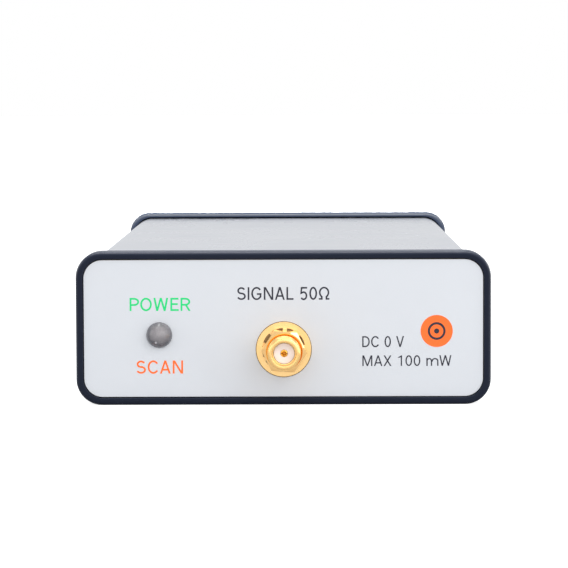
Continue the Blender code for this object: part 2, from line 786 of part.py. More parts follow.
for i, (sx, sz) in enumerate([(-1, 1), (1, 1), (-1, -1), (1, -1)], 1):
    x = USB_X + sx * 1.25
    z = (USB_Z + 1.66, USB_Z + 1.90) if sz > 0 else (USB_Z - 1.90, USB_Z - 1.66)
    block(f"usb_socket_contact_{i}", (x - 0.5, x + 0.5), (USB_Y1 - 10.0, USB_Y1 - 2.2), z, GOLD)

# --------------------------------------------------------------- trigger jack
PANEL_OUT = LENGTH - LABEL_Y
BUSH_END = PANEL_OUT + 4.3
trig = turned(
    "trigger_jack_body",
    [
        (4.05, TRIG_TIP),
        (4.55, TRIG_TIP),
        (4.80, TRIG_TIP - 0.35),
        (4.80, BUSH_END),
        (6.0, BUSH_END),
        (6.2, BUSH_END - 0.25),
        (6.2, 158.2),
        (2.5, 158.2),
        (2.5, BUSH_END + 0.6),
        (4.05, BUSH_END + 0.6),
    ],
    TRIG_X,
    0,
    TRIG_Z,
    32,
    NICKEL,
    to_front=False,
    closed=True,
)
for i, sx in enumerate((-1, 1)):
    bm = bmesh.new()
    bmesh.ops.create_cone(bm, cap_ends=True, segments=12, radius1=0.98 * MM, radius2=0.98 * MM, depth=1.4 * MM)
    mesh = bpy.data.meshes.new(f"trigger_lug_{i}")
    bm.to_mesh(mesh)
    bm.free()
    lug = finish(bpy.data.objects.new(f"trigger_lug_{i}", mesh), helper=True)
    lug.location = ((TRIG_X + sx * 4.85) * MM, (TRIG_TIP - 5.0) * MM, TRIG_Z * MM)
    lug.rotation_euler = (0, math.pi / 2, 0)
    combine(trig, lug, "UNION")
turned(
    "trigger_jack_dielectric",
    [(0.85, TRIG_TIP - 1.6), (2.1, TRIG_TIP - 1.6), (2.38, TRIG_TIP - 1.9), (2.38, 158.4), (0.85, 158.4)],
    TRIG_X,
    0,
    TRIG_Z,
    24,
    PTFE,
    to_front=False,
    closed=True,
)
turned(
    "trigger_jack_contact",
    [
        (0, TRIG_TIP - 6.2),
        (0.55, TRIG_TIP - 5.9),
        (0.55, TRIG_TIP - 2.0),
        (0.74, TRIG_TIP - 1.9),
        (0.74, 158.6),
        (0, 158.6),
    ],
    TRIG_X,
    0,
    TRIG_Z,
    14,
    GOLD,
    to_front=False,
)
trig_housing = block(
    "trigger_jack_housing",
    (TRIG_X - 7.3, TRIG_X + 7.3),
    (150.0, REAR_PANEL_Y - 0.2),
    (BOARD_TOP + 0.15, TRIG_Z + 7.3),
    BLACK,
    0.3,
    1,
)
combine(
    trig_housing,
    extruded("trigger_housing_bore", [circle(TRIG_X, TRIG_Z, 6.32, 32)], 158.0, REAR_PANEL_Y + 2, helper=True),
)
extruded(
    "trigger_jack_lock_washer",
    toothed_washer(TRIG_X, TRIG_Z, 8.6, 7.4, 6.36, 12, 0.0, 36),
    PANEL_OUT + 0.1,
    PANEL_OUT + 0.6,
    NICKEL,
)
extruded(
    "trigger_jack_nut",
    [hexagon(TRIG_X, TRIG_Z, 15.8, math.radians(8)), circle(TRIG_X, TRIG_Z, 6.32, 32)],
    PANEL_OUT + 0.68,
    PANEL_OUT + 3.3,
    NICKEL,
)

# ------------------------------------------------------------------- shading
for obj in parts.objects:
    if obj.type == "MESH" and not any(m.type == "SCREW" for m in obj.modifiers):
        obj.data.shade_smooth()
        obj.data.set_sharp_from_angle(angle=math.radians(35))
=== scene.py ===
"""Looks of the bench RF analyzer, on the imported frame."""

import json
import math

import bmesh
import bpy
from mathutils import Matrix, Vector


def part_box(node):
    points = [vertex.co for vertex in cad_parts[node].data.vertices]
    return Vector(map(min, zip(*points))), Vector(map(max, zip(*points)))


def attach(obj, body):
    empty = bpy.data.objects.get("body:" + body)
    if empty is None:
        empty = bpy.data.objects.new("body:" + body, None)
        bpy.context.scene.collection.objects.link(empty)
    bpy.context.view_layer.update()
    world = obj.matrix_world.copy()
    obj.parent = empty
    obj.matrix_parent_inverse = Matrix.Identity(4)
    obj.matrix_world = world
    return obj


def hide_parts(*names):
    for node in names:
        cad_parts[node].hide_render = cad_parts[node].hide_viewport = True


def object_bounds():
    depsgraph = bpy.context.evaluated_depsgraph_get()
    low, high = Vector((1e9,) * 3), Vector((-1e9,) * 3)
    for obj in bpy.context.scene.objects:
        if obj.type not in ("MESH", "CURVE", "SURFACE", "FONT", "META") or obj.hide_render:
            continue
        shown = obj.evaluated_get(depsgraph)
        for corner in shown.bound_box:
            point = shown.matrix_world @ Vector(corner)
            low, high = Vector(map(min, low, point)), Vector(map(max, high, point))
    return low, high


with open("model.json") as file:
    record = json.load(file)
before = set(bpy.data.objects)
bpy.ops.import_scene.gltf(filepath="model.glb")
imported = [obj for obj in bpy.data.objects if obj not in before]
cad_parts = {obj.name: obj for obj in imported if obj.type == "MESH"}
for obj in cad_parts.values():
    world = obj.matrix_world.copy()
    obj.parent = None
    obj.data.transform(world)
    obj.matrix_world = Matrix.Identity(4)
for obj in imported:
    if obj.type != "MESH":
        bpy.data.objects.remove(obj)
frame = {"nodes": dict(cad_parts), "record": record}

MM = 0.001
CAD_BOX = [list(map(float, corner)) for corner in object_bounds()]
scene = bpy.context.scene

# ---------------------------------------------------------------- positions
front_lo, front_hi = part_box("front_bezel")
rear_lo, rear_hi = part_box("rear_bezel")
Y0 = front_lo[1] * 1000  # front plane of the front bezel, mm in the row frame
Y1 = rear_hi[1] * 1000
LENGTH = Y1 - Y0
BEZEL_W = (front_hi[0] - front_lo[0]) * 1000
BEZEL_H = (front_hi[2] - front_lo[2]) * 1000
BEZEL_DEPTH = (front_hi[1] - front_lo[1]) * 1000
BEZEL_R = 5.0
CZ = BEZEL_H / 2
case_lo, case_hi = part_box("case_extrusion")
CASE_W = (case_hi[0] - case_lo[0]) * 1000
CASE_H = (case_hi[2] - case_lo[2]) * 1000
CASE_Y0, CASE_Y1 = case_lo[1] * 1000, case_hi[1] * 1000
OPEN_W, OPEN_H, OPEN_R = 77.6, 26.9, 3.75
CASE_R = 4.5


def span_of(node, axis):
    lo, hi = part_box(node)
    return lo[axis] * 1000, hi[axis] * 1000


def middle(node, axis):
    lo, hi = span_of(node, axis)
    return (lo + hi) / 2


# ---------------------------------------------------------------- materials
def tree(name):
    m = bpy.data.materials.new(name)
    m.use_nodes = True
    t = m.node_tree
    return m, t, t.nodes["Principled BSDF"]


def new(t, kind, **values):
    n = t.nodes.new(kind)
    for k, v in values.items():
        setattr(n, k, v)
    return n


def noise(t, coord, scale, detail=4.0, rough=0.55, stretch=None):
    n = new(t, "ShaderNodeTexNoise")
    n.inputs["Scale"].default_value = scale
    n.inputs["Detail"].default_value = detail
    n.inputs["Roughness"].default_value = rough
    src = coord
    if stretch:
        mp = new(t, "ShaderNodeMapping")
        mp.inputs["Scale"].default_value = stretch
        t.links.new(coord, mp.inputs["Vector"])
        src = mp.outputs["Vector"]
    t.links.new(src, n.inputs["Vector"])
    return n.outputs["Fac"]


def remap(t, value, a, b, lo=0.0, hi=1.0):
    n = new(t, "ShaderNodeMapRange")
    n.inputs["From Min"].default_value = lo
    n.inputs["From Max"].default_value = hi
    n.inputs["To Min"].default_value = a
    n.inputs["To Max"].default_value = b
    t.links.new(value, n.inputs["Value"])
    return n.outputs["Result"]


def blend(t, fac, a, b, mode="MIX"):
    n = new(t, "ShaderNodeMix", data_type="RGBA", blend_type=mode)
    t.links.new(fac, n.inputs[0])
    for slot, v in ((6, a), (7, b)):
        if isinstance(v, tuple):
            n.inputs[slot].default_value = (*v, 1)
        else:
            t.links.new(v, n.inputs[slot])
    return n.outputs[2]


def bump(t, height, strength, distance, normal=None):
    n = new(t, "ShaderNodeBump")
    n.inputs["Strength"].default_value = strength
    n.inputs["Distance"].default_value = distance
    t.links.new(height, n.inputs["Height"])
    if normal is not None:
        t.links.new(normal, n.inputs["Normal"])
    return n.outputs["Normal"]


def coords(t):
    return new(t, "ShaderNodeTexCoord").outputs["Object"]


def from_axis(t, c, node):
    """Distance from the node's axis along Y, as a vector along X."""
    mp = new(t, "ShaderNodeMapping")
    mp.inputs["Location"].default_value = (-middle(node, 0) * MM, 0, -middle(node, 2) * MM)
    mp.inputs["Scale"].default_value = (1, 0, 1)
    t.links.new(c, mp.inputs["Vector"])
    length = new(t, "ShaderNodeVectorMath", operation="LENGTH")
    t.links.new(mp.outputs["Vector"], length.inputs[0])
    out = new(t, "ShaderNodeCombineXYZ")
    t.links.new(length.outputs["Value"], out.inputs["X"])
    return out.outputs["Vector"]


def finish_like(
    name,
    colour,
    shade,
    rough,
    metal=0.0,
    patch=60.0,
    grain=4000.0,
    grain_depth=4e-6,
    grain_strength=0.25,
    streak=None,
    streak_strength=0.08,
    ior=1.5,
    coat=0.0,
    coat_rough=0.1,
    spec=0.5,
    sheen=0.0,
    turned=0.0,
):
    """A Principled surface with patches of two close tones, roughness that varies with them, a fine grain in the bump and, if asked for, drawn lines or turned rings about the input jack's axis."""
    m, t, b = tree(name)
    c = coords(t)
    patches = noise(t, c, patch, 5.0, 0.6)
    fine = noise(t, c, grain, 3.0, 0.6)
    tone = remap(t, patches, 0.0, 1.0, 0.3, 0.7)
    t.links.new(blend(t, tone, colour, shade), b.inputs["Base Color"])
    t.links.new(remap(t, patches, rough[0], rough[1], 0.3, 0.7), b.inputs["Roughness"])
    b.inputs["Metallic"].default_value = metal
    b.inputs["IOR"].default_value = ior
    b.inputs["Specular IOR Level"].default_value = spec
    if coat:
        b.inputs["Coat Weight"].default_value = coat
        b.inputs["Coat Roughness"].default_value = coat_rough
    if sheen:
        b.inputs["Sheen Weight"].default_value = sheen
        b.inputs["Sheen Roughness"].default_value = 0.3
        b.inputs["Sheen Tint"].default_value = (0.86, 0.93, 1.0, 1)
    n = None
    if turned:
        n = bump(t, noise(t, from_axis(t, c, "input_jack_body"), 6500.0, 3.0, 0.7), turned, 3e-6)
    if streak:
        lines = noise(t, c, 1.0, 3.0, 0.7, stretch=streak)
        n = bump(t, lines, streak_strength, 4e-6)
    n = bump(t, fine, grain_strength, grain_depth, n)
    t.links.new(n, b.inputs["Normal"])
    m.diffuse_color = (*colour, 1)
    return m


ALU = finish_like(
    "anodised_aluminium",
    (0.632, 0.662, 0.722),
    (0.614, 0.645, 0.706),
    (0.25, 0.31),
    metal=1.0,
    patch=45,
    grain=5200,
    grain_depth=3e-6,
    grain_strength=0.14,
    streak=(5200, 24, 5200),
    streak_strength=0.07,
)
# The front panel is tinted dark brown as painted shade: it shows only through the gaps around the input jack's washer
# and the lamp, where the tone stands in for shade and the gold's reflection; the rear panel keeps the plain grey.
PANEL = finish_like(
    "panel_aluminium", (0.30, 0.19, 0.085), (0.25, 0.16, 0.075), (0.12, 0.20), metal=1.0, streak=(90, 90, 6000)
)
PANEL_REAR = finish_like(
    "rear_panel_aluminium", (0.46, 0.46, 0.47), (0.42, 0.42, 0.43), (0.30, 0.38), metal=1.0, streak=(90, 90, 6000)
)
BEZEL = finish_like(
    "bezel_plastic",
    (0.0055, 0.0100, 0.0260),
    (0.0075, 0.0120, 0.0275),
    (0.42, 0.52),
    patch=150,
    grain=6800,
    grain_depth=9e-6,
    grain_strength=0.22,
    spec=0.21,
    sheen=0.06,
)
LABEL = finish_like(
    "label_film",
    (0.655, 0.680, 0.720),
    (0.643, 0.668, 0.709),
    (0.40, 0.50),
    patch=70,
    grain=7500,
    grain_depth=3e-6,
    grain_strength=0.14,
    spec=0.35,
)
GOLD = finish_like(
    "gold_plate",
    (0.985, 0.66, 0.27),
    (0.96, 0.60, 0.22),
    (0.20, 0.30),
    metal=1.0,
    patch=500,
    grain=9000,
    grain_depth=1.0e-6,
    grain_strength=0.03,
    turned=0.10,
)
GOLD_FLAT = finish_like(
    "gold_plate_tumbled",
    (1.0, 0.69, 0.315),
    (0.99, 0.645, 0.27),
    (0.25, 0.34),
    metal=1.0,
    patch=700,
    grain=7000,
    grain_depth=2e-6,
    grain_strength=0.07,
    turned=0.30,
)
GOLD_NUT = finish_like(
    "gold_plate_turned",
    (1.0, 0.655, 0.285),
    (0.985, 0.605, 0.24),
    (0.07, 0.12),
    metal=1.0,
    patch=400,
    grain=9000,
    grain_depth=1.0e-6,
    grain_strength=0.05,
    turned=0.16,
)
GOLD_CONTACT = finish_like(
    "gold_contact",
    (1.0, 0.62, 0.15),
    (1.0, 0.52, 0.08),
    (0.20, 0.28),
    metal=1.0,
    patch=900,
    grain=9000,
    grain_depth=1.5e-6,
    grain_strength=0.2,
)
NICKEL = finish_like(
    "nickel_plate", (0.60, 0.59, 0.57), (0.53, 0.52, 0.50), (0.16, 0.26), metal=1.0, patch=400, grain=8000, grain_depth=1.5e-6
)
STEEL = finish_like(
    "screw_steel", (0.17, 0.17, 0.18), (0.12, 0.12, 0.13), (0.32, 0.46), metal=1.0, patch=500, grain=6000, grain_depth=3e-6
)
PTFE = finish_like(
    "ptfe", (0.985, 0.945, 0.965), (0.97, 0.925, 0.945), (0.38, 0.50), patch=500, grain=5000, grain_depth=3e-6, spec=0.4
)
BLACK = finish_like(
    "black_moulding", (0.018, 0.018, 0.020), (0.026, 0.026, 0.028), (0.42, 0.56), patch=300, grain=6000, grain_depth=5e-6
)
BOARD = finish_like(
    "board_laminate", (0.016, 0.15, 0.07), (0.02, 0.19, 0.09), (0.28, 0.40), patch=250, grain=3000, grain_depth=6e-6
)
CHIP = finish_like("chip_mould", (0.03, 0.03, 0.034), (0.045, 0.045, 0.048), (0.5, 0.65), patch=600, grain=7000)
TIN = finish_like("shield_tinplate", (0.66, 0.67, 0.69), (0.58, 0.59, 0.61), (0.26, 0.38), metal=1.0, patch=160, grain=4000)
FERRITE = finish_like("inductor_ferrite", (0.11, 0.11, 0.12), (0.15, 0.15, 0.155), (0.6, 0.8), patch=500, grain=3500)
PAD = finish_like("thermal_pad", (0.42, 0.50, 0.62), (0.38, 0.46, 0.58), (0.8, 0.9), patch=300, grain=2500)


def ink(name, colour, shade):
    return finish_like(
        name, colour, shade, (0.42, 0.55), patch=2500, grain=9000, grain_depth=2e-6, grain_strength=0.15, spec=0.3
    )


INK_DARK = ink("ink_dark", (0.020, 0.021, 0.034), (0.030, 0.031, 0.046))
INK_GREEN = ink("ink_green", (0.010, 0.66, 0.205), (0.016, 0.62, 0.19))
INK_ORANGE = ink("ink_orange", (1.0, 0.170, 0.028), (0.96, 0.155, 0.024))


def lamp_material():
    """Smoky diffused epoxy with painted light and shade: paler over the reflector cup and set off up and to the right
    as painted light, darker towards the rim as painted shade of the dome, with faint clouds.
    """
    m, t, b = tree("lamp_epoxy")
    c = coords(t)
    # the gradient's centre sits 0.22 mm right of and 0.5 mm above the dome's axis: painted light falling from the upper
    # right, painted shade towards the lower left rim
    mp = new(t, "ShaderNodeMapping")
    x, z = middle("status_lamp", 0) * MM, middle("status_lamp", 2) * MM
    mp.inputs["Location"].default_value = (-x - 0.00022, 0, -z - 0.00050)
    t.links.new(c, mp.inputs["Vector"])
    sep = new(t, "ShaderNodeSeparateXYZ")
    t.links.new(mp.outputs["Vector"], sep.inputs["Vector"])
    flat = new(t, "ShaderNodeCombineXYZ")
    t.links.new(sep.outputs["X"], flat.inputs["X"])
    t.links.new(sep.outputs["Z"], flat.inputs["Z"])
    length = new(t, "ShaderNodeVectorMath", operation="LENGTH")
    t.links.new(flat.outputs["Vector"], length.inputs[0])
    clouds = noise(t, c, 900, 5.0, 0.62)
    swirl = remap(t, clouds, -0.00050, 0.00050, 0.3, 0.7)
    add = new(t, "ShaderNodeMath", operation="ADD")
    t.links.new(length.outputs["Value"], add.inputs[0])
    t.links.new(swirl, add.inputs[1])
    ramp = new(t, "ShaderNodeValToRGB")
    e = ramp.color_ramp.elements
    e[0].position, e[0].color = 0.0, (0.262, 0.246, 0.258, 1)
    e[1].position, e[1].color = 1.0, (0.040, 0.041, 0.052, 1)
    for pos, col in ((0.38, (0.214, 0.202, 0.214)), (0.62, (0.165, 0.156, 0.168)), (0.80, (0.082, 0.080, 0.094))):
        k = e.new(pos)
        k.color = (*col, 1)
    t.links.new(remap(t, add.outputs["Value"], 0.0, 1.0, 0.0, 0.0029), ramp.inputs["Fac"])
    tint = ramp.outputs["Color"]
    # two painted highlight spots on the dome, pale glints at the lower left and at the top
    for dx, dz, size, amount in ((-0.54, -1.30, 0.00030, 1.0), (0.02, 2.10, 0.00030, 0.55)):
        at = new(t, "ShaderNodeMapping")
        at.inputs["Location"].default_value = (-x - dx * MM, 0, -z - dz * MM)
        at.inputs["Scale"].default_value = (1, 0, 1)
        t.links.new(c, at.inputs["Vector"])
        far = new(t, "ShaderNodeVectorMath", operation="LENGTH")
        t.links.new(at.outputs["Vector"], far.inputs[0])
        tint = blend(t, remap(t, far.outputs["Value"], amount, 0.0, 0.0, size), tint, (0.62, 0.60, 0.63))
    t.links.new(tint, b.inputs["Base Color"])
    t.links.new(remap(t, clouds, 0.20, 0.34, 0.3, 0.7), b.inputs["Roughness"])
    b.inputs["Coat Weight"].default_value = 0.35
    b.inputs["Coat Roughness"].default_value = 0.10
    t.links.new(bump(t, noise(t, c, 2600, 3.0, 0.6), 0.25, 6e-6), b.inputs["Normal"])
    m.diffuse_color = (0.3, 0.29, 0.3, 1)
    return m


LENS = lamp_material()

SLOT_OF = {
    ALU: "anodised_aluminium",
    PANEL: "panel_aluminium",
    PANEL_REAR: "panel_aluminium",
    BEZEL: "bezel_plastic",
    LABEL: "label_film",
    GOLD: "gold_plate",
    GOLD_FLAT: "gold_plate",
    GOLD_NUT: "gold_plate",
    GOLD_CONTACT: "gold_plate",
    NICKEL: "nickel_plate",
    STEEL: "screw_steel",
    PTFE: "ptfe",
    LENS: "lamp_epoxy",
    BLACK: "black_moulding",
    BOARD: "board_laminate",
    CHIP: "chip_mould",
    TIN: "shield_tinplate",
    FERRITE: "inductor_ferrite",
    PAD: "thermal_pad",
}
BY_SLOT = {SLOT_OF[m]: m for m in (ALU, PANEL, BEZEL, LABEL, GOLD, NICKEL, STEEL, PTFE, LENS, BLACK, BOARD, CHIP, TIN, FERRITE, PAD)}

# the CAD nodes that stay get the procedural finish of their own slot
for sub in frame["record"]["subparts"]:
    node = frame["nodes"].get(sub["node"])
    if node is None:
        continue
    mat = PANEL_REAR if sub["node"] == "rear_panel" else BY_SLOT[sub["material_slot"]]
    if not node.material_slots:
        node.data.materials.append(mat)
    for s in node.material_slots:
        s.material = mat


# ------------------------------------------------------------------ helpers
def piece(name, bm_or_mesh, mat, *nodes, angle=32.0, flat=False):
    """A mesh piece in the row frame (its points are in mm), riding on the root, standing for the nodes named."""
    if isinstance(bm_or_mesh, bmesh.types.BMesh):
        mesh = bpy.data.meshes.new(name)
        bm_or_mesh.to_mesh(mesh)
        bm_or_mesh.free()
    else:
        mesh = bm_or_mesh
    mesh.transform(Matrix.Scale(MM, 4))
    mesh.materials.clear()
    mesh.materials.append(mat)
    if not flat:
        mesh.shade_smooth()
        mesh.set_sharp_from_angle(angle=math.radians(angle))
    obj = bpy.data.objects.new(name, mesh)
    scene.collection.objects.link(obj)
    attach(obj, "root")
    if nodes:
        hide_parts(*nodes)
    return obj


def circle(cx, cz, r, n=64, turn=0.0):
    return [
        (cx + r * math.cos(turn + 2 * math.pi * i / n), cz + r * math.sin(turn + 2 * math.pi * i / n))
        for i in range(n)
    ]


def rounded(corners, steps=6):
    """Outline through (x, z, radius) corners, each radius turned as an arc."""
    out = []
    n = len(corners)
    for i, (x, z, r) in enumerate(corners):
        p = Vector((x, z))
        a = Vector(corners[i - 1][:2]) - p
        b = Vector(corners[(i + 1) % n][:2]) - p
        if r <= 0:
            out.append((x, z))
            continue
        half = a.angle(b) / 2
        reach = r / math.tan(half)
        centre = p + (a.normalized() + b.normalized()).normalized() * (r / math.sin(half))
        start = p + a.normalized() * reach - centre
        end = p + b.normalized() * reach - centre
        sweep = start.angle_signed(end)
        for k in range(steps + 1):
            t = -sweep * k / steps
            out.append(
                (
                    centre.x + start.x * math.cos(t) - start.y * math.sin(t),
                    centre.y + start.x * math.sin(t) + start.y * math.cos(t),
                )
            )
    return out


def box_loop(cx, cz, w, h, r=0.0, steps=6):
    x, z = w / 2, h / 2
    return rounded(
        [(cx - x, cz - z, r), (cx + x, cz - z, r), (cx + x, cz + z, r), (cx - x, cz + z, r)],
        steps,
    )


def tube(loops, closed=True, caps=False):
    """Joins equal-count 3D loops by bands of quads; closed joins the last to the first."""
    bm = bmesh.new()
    rings = [[bm.verts.new(p) for p in loop] for loop in loops]
    n = len(rings[0])
    pairs = list(zip(rings, rings[1:])) + ([(rings[-1], rings[0])] if closed else [])
    for a, b in pairs:
        for i in range(n):
            j = (i + 1) % n
            bm.faces.new((a[i], a[j], b[j], b[i]))
    if caps:
        bm.faces.new(rings[0])
        bm.faces.new(list(reversed(rings[-1])))
    bmesh.ops.recalc_face_normals(bm, faces=bm.faces)
    return bm


def extruded(loops, a0, a1, along="Y"):
    """A flat outline (first loop) with holes (the others), filled and extruded from a0 to a1, as a mesh in mm."""
    curve = bpy.data.curves.new("outline", "CURVE")
    curve.dimensions = "2D"
    curve.fill_mode = "BOTH"
    curve.extrude = (a1 - a0) / 2
    for loop in loops:
        s = curve.splines.new("POLY")
        s.points.add(len(loop) - 1)
        for p, (u, v) in zip(s.points, loop):
            p.co = (u, v, 0, 1)
        s.use_cyclic_u = True
    flat = bpy.data.objects.new("outline", curve)
    scene.collection.objects.link(flat)
    bpy.context.view_layer.update()
    mesh = bpy.data.meshes.new_from_object(flat.evaluated_get(bpy.context.evaluated_depsgraph_get()))
    bpy.data.objects.remove(flat, do_unlink=True)
    bpy.data.curves.remove(curve)
    mid = (a0 + a1) / 2
    if along == "Y":
        place = Matrix.Translation((0, mid, 0)) @ Matrix.Rotation(math.pi / 2, 4, "X")
    else:
        place = Matrix.Translation((0, 0, mid))
    bm = bmesh.new()
    bm.from_mesh(mesh)
    bpy.data.meshes.remove(mesh)
    bmesh.ops.transform(bm, matrix=place, verts=bm.verts)
    bmesh.ops.remove_doubles(bm, verts=bm.verts, dist=1e-4)
    bmesh.ops.dissolve_degenerate(bm, edges=bm.edges, dist=1e-5)
    bmesh.ops.recalc_face_normals(bm, faces=bm.faces)
    return bm


def cut(bm, *tools, operation="DIFFERENCE"):
    """Exact boolean of a bmesh in mm with others; returns a new bmesh."""
    objs = []
    for k, b in enumerate((bm, *tools)):
        mesh = bpy.data.meshes.new(f"cut_{k}")
        b.to_mesh(mesh)
        b.free()
        o = bpy.data.objects.new(f"cut_{k}", mesh)
        scene.collection.objects.link(o)
        objs.append(o)
    for o in objs[1:]:
        md = objs[0].modifiers.new("cut", "BOOLEAN")
        md.operation = operation
        md.solver = "EXACT"
        md.object = o
    bpy.context.view_layer.update()
    mesh = bpy.data.meshes.new_from_object(objs[0].evaluated_get(bpy.context.evaluated_depsgraph_get()))
    out = bmesh.new()
    out.from_mesh(mesh)
    for o in objs:
        data = o.data
        bpy.data.objects.remove(o, do_unlink=True)
        bpy.data.meshes.remove(data)
    bpy.data.meshes.remove(mesh)
    return out


def revolved(profile, x, y, z, n=96, front=True, radius=None):
    """A closed ring profile of (radius, distance) about an axis along Y through (x, y, z). The distance runs to the front, or to the rear. A radius function (profile radius, distance, angle) may modulate it."""
    s = -1 if front else 1
    loops = []
    for r, d in profile:
        loop = []
        for k in range(n):
            a = 2 * math.pi * k / n
            rr = radius(r, d, a) if radius else r
            loop.append((x + rr * math.cos(a), y + s * d, z + rr * math.sin(a)))
        loops.append(loop)
    return tube(loops)


def solid_turned(profile, x, y, z, n=64, front=True):
    """Like revolved, for a profile whose first and last points are near the axis: they are capped."""
    s = -1 if front else 1
    loops = [
        [(x + r * math.cos(2 * math.pi * k / n), y + s * d, z + r * math.sin(2 * math.pi * k / n)) for k in range(n)]
        for r, d in profile
    ]
    return tube(loops, closed=False, caps=True)


def arc(cx, cy, r, a0, a1, n):
    """Points of a profile arc, angles in degrees."""
    return [
        (cx + r * math.cos(math.radians(a0 + (a1 - a0) * k / n)), cy + r * math.sin(math.radians(a0 + (a1 - a0) * k / n)))
        for k in range(n + 1)
    ]


# ------------------------------------------------------------------- bezels
SCREW_X, SCREW_DZ = 34.8, 8.9
SCREWS = [(sx * SCREW_X, CZ + sz * SCREW_DZ) for sx in (-1, 1) for sz in (-1, 1)]
WEB_Y, WEB_T = 2.32, 1.6


def bezel(name, rear):
    """Moulded frame lofted through rounded rectangles: nearly full-round rim, recess wall, web, and skirt over the extrusion."""
    n = 14

    def y_at(d):
        return Y1 - d if rear else Y0 + d

    section = [(OPEN_W, OPEN_H, OPEN_R, WEB_Y)]
    # inner edge of the rim
    for k in range(6):
        a = math.radians(90 * k / 5)
        g = 0.25 * (1 - math.cos(a))
        section.append((OPEN_W + 2 * g, OPEN_H + 2 * g, OPEN_R + g, 0.25 * (1 - math.sin(a))))
    # outer edge of the rim
    R = 0.84
    for k in range(13):
        a = math.radians(90 * k / 12)
        g = R * (1 - math.sin(a))
        section.append((BEZEL_W - 2 * g, BEZEL_H - 2 * g, BEZEL_R - g, R * (1 - math.cos(a))))
    # rear edge
    for k in range(9):
        a = math.radians(90 * k / 8)
        g = 0.95 * (1 - math.cos(a))
        section.append((BEZEL_W - 2 * g, BEZEL_H - 2 * g, BEZEL_R - g, BEZEL_DEPTH - 0.95 * (1 - math.sin(a))))
    # skirt's inner edge and wall
    for k in range(4):
        a = math.radians(90 * k / 3)
        g = 0.12 * (1 - math.sin(a))
        section.append((CASE_W + 0.5 + 2 * g, CASE_H + 0.5 + 2 * g, CASE_R + 0.25 + g, BEZEL_DEPTH - 0.12 * (1 - math.cos(a))))
    section.append((CASE_W + 0.5, CASE_H + 0.5, CASE_R + 0.25, WEB_Y + WEB_T))
    section.append((50.0, 10.0, 1.0, WEB_Y + WEB_T))
    section.append((50.0, 10.0, 1.0, WEB_Y))
    loops = [[(x, y_at(d), z) for x, z in box_loop(0, CZ, w, h, r, n)] for w, h, r, d in section]
    body = tube(loops)
    window = [
        (-36.8, -4.2), (-30.6, -4.2), (-30.6, -11.2), (30.6, -11.2), (30.6, -4.2), (36.8, -4.2),
        (36.8, 4.2), (30.6, 4.2), (30.6, 11.2), (-30.6, 11.2), (-30.6, 4.2), (-36.8, 4.2),
    ]
    lo, hi = sorted((y_at(1.2), y_at(BEZEL_DEPTH - 1)))
    tools = [extruded([[(x, CZ + z) for x, z in window]], lo, hi)]
    tools += [extruded([circle(x, z, 1.6, 24)], lo, hi) for x, z in SCREWS]
    return piece(name, cut(body, *tools), BEZEL, name.replace("_moulding", ""), angle=40)


front_bezel = bezel("front_bezel_moulding", False)
rear_bezel = bezel("rear_bezel_moulding", True)

# ------------------------------------------------- extrusion and belly plate
TOP_WALL, SIDE_WALL = 1.6, 1.7
BOARD_TOP, BOARD_T = 10.1, 1.6


def channel_outline():
    x0, z0, z1 = CASE_W / 2, CZ - CASE_H / 2, CZ + CASE_H / 2
    wall = x0 - SIDE_WALL
    roof = z1 - TOP_WALL
    half = [
        (x0, z1, CASE_R),
        (x0, z0, CASE_R),
        (31.8, z0, 0.12),
        (31.8, 2.15, 0),
        (34.2, 2.15, 0),
        (34.2, 4.05, 0),
        (31.8, 4.05, 0),
        (31.8, 4.90, 0),
        (32.6, 7.30, 0.6),
        (34.2, BOARD_TOP - BOARD_T - 0.15, 0.6),
        (wall, BOARD_TOP - BOARD_T - 0.15, 0),
        (wall, BOARD_TOP + 0.15, 0),
        (35.2, BOARD_TOP + 0.15, 0.2),
        (35.2, BOARD_TOP + 1.45, 0.2),
        (wall, BOARD_TOP + 1.45, 0),
        (wall, 15.4, 0),
        (35.6, 15.4, 0.2),
        (35.6, 16.5, 0.2),
        (wall, 16.5, 0),
        (wall, 18.4, 0),
        (35.6, 18.4, 0.2),
        (35.6, 19.5, 0.2),
        (wall, 19.5, 0),
        (wall, 20.9, 0),
        (34.0, 21.2, 1.0),
        (32.3, 22.8, 1.0),
        (32.0, roof, 0),
    ]
    other = [(-x, z, r) for x, z, r in reversed(half)]
    return rounded(half + other, 14)


extrusion = piece(
    "case_profile",
    extruded([channel_outline()] + [circle(x, z, 1.35, 32) for x, z in SCREWS], CASE_Y0, CASE_Y1),
    ALU,
    "case_extrusion",
    angle=28,
)
belly_y = span_of("belly_plate", 1)
belly_half = [(31.5, 1.5, 0.1), (31.5, 2.3, 0), (33.9, 2.3, 0), (33.9, 3.9, 0), (30.2, 3.9, 0), (29.4, 3.1, 0)]
piece(
    "belly_plate_profile",
    extruded([rounded(belly_half + [(-x, z, r) for x, z, r in reversed(belly_half)], 3)], *belly_y),
    ALU,
    "belly_plate",
    angle=28,
)

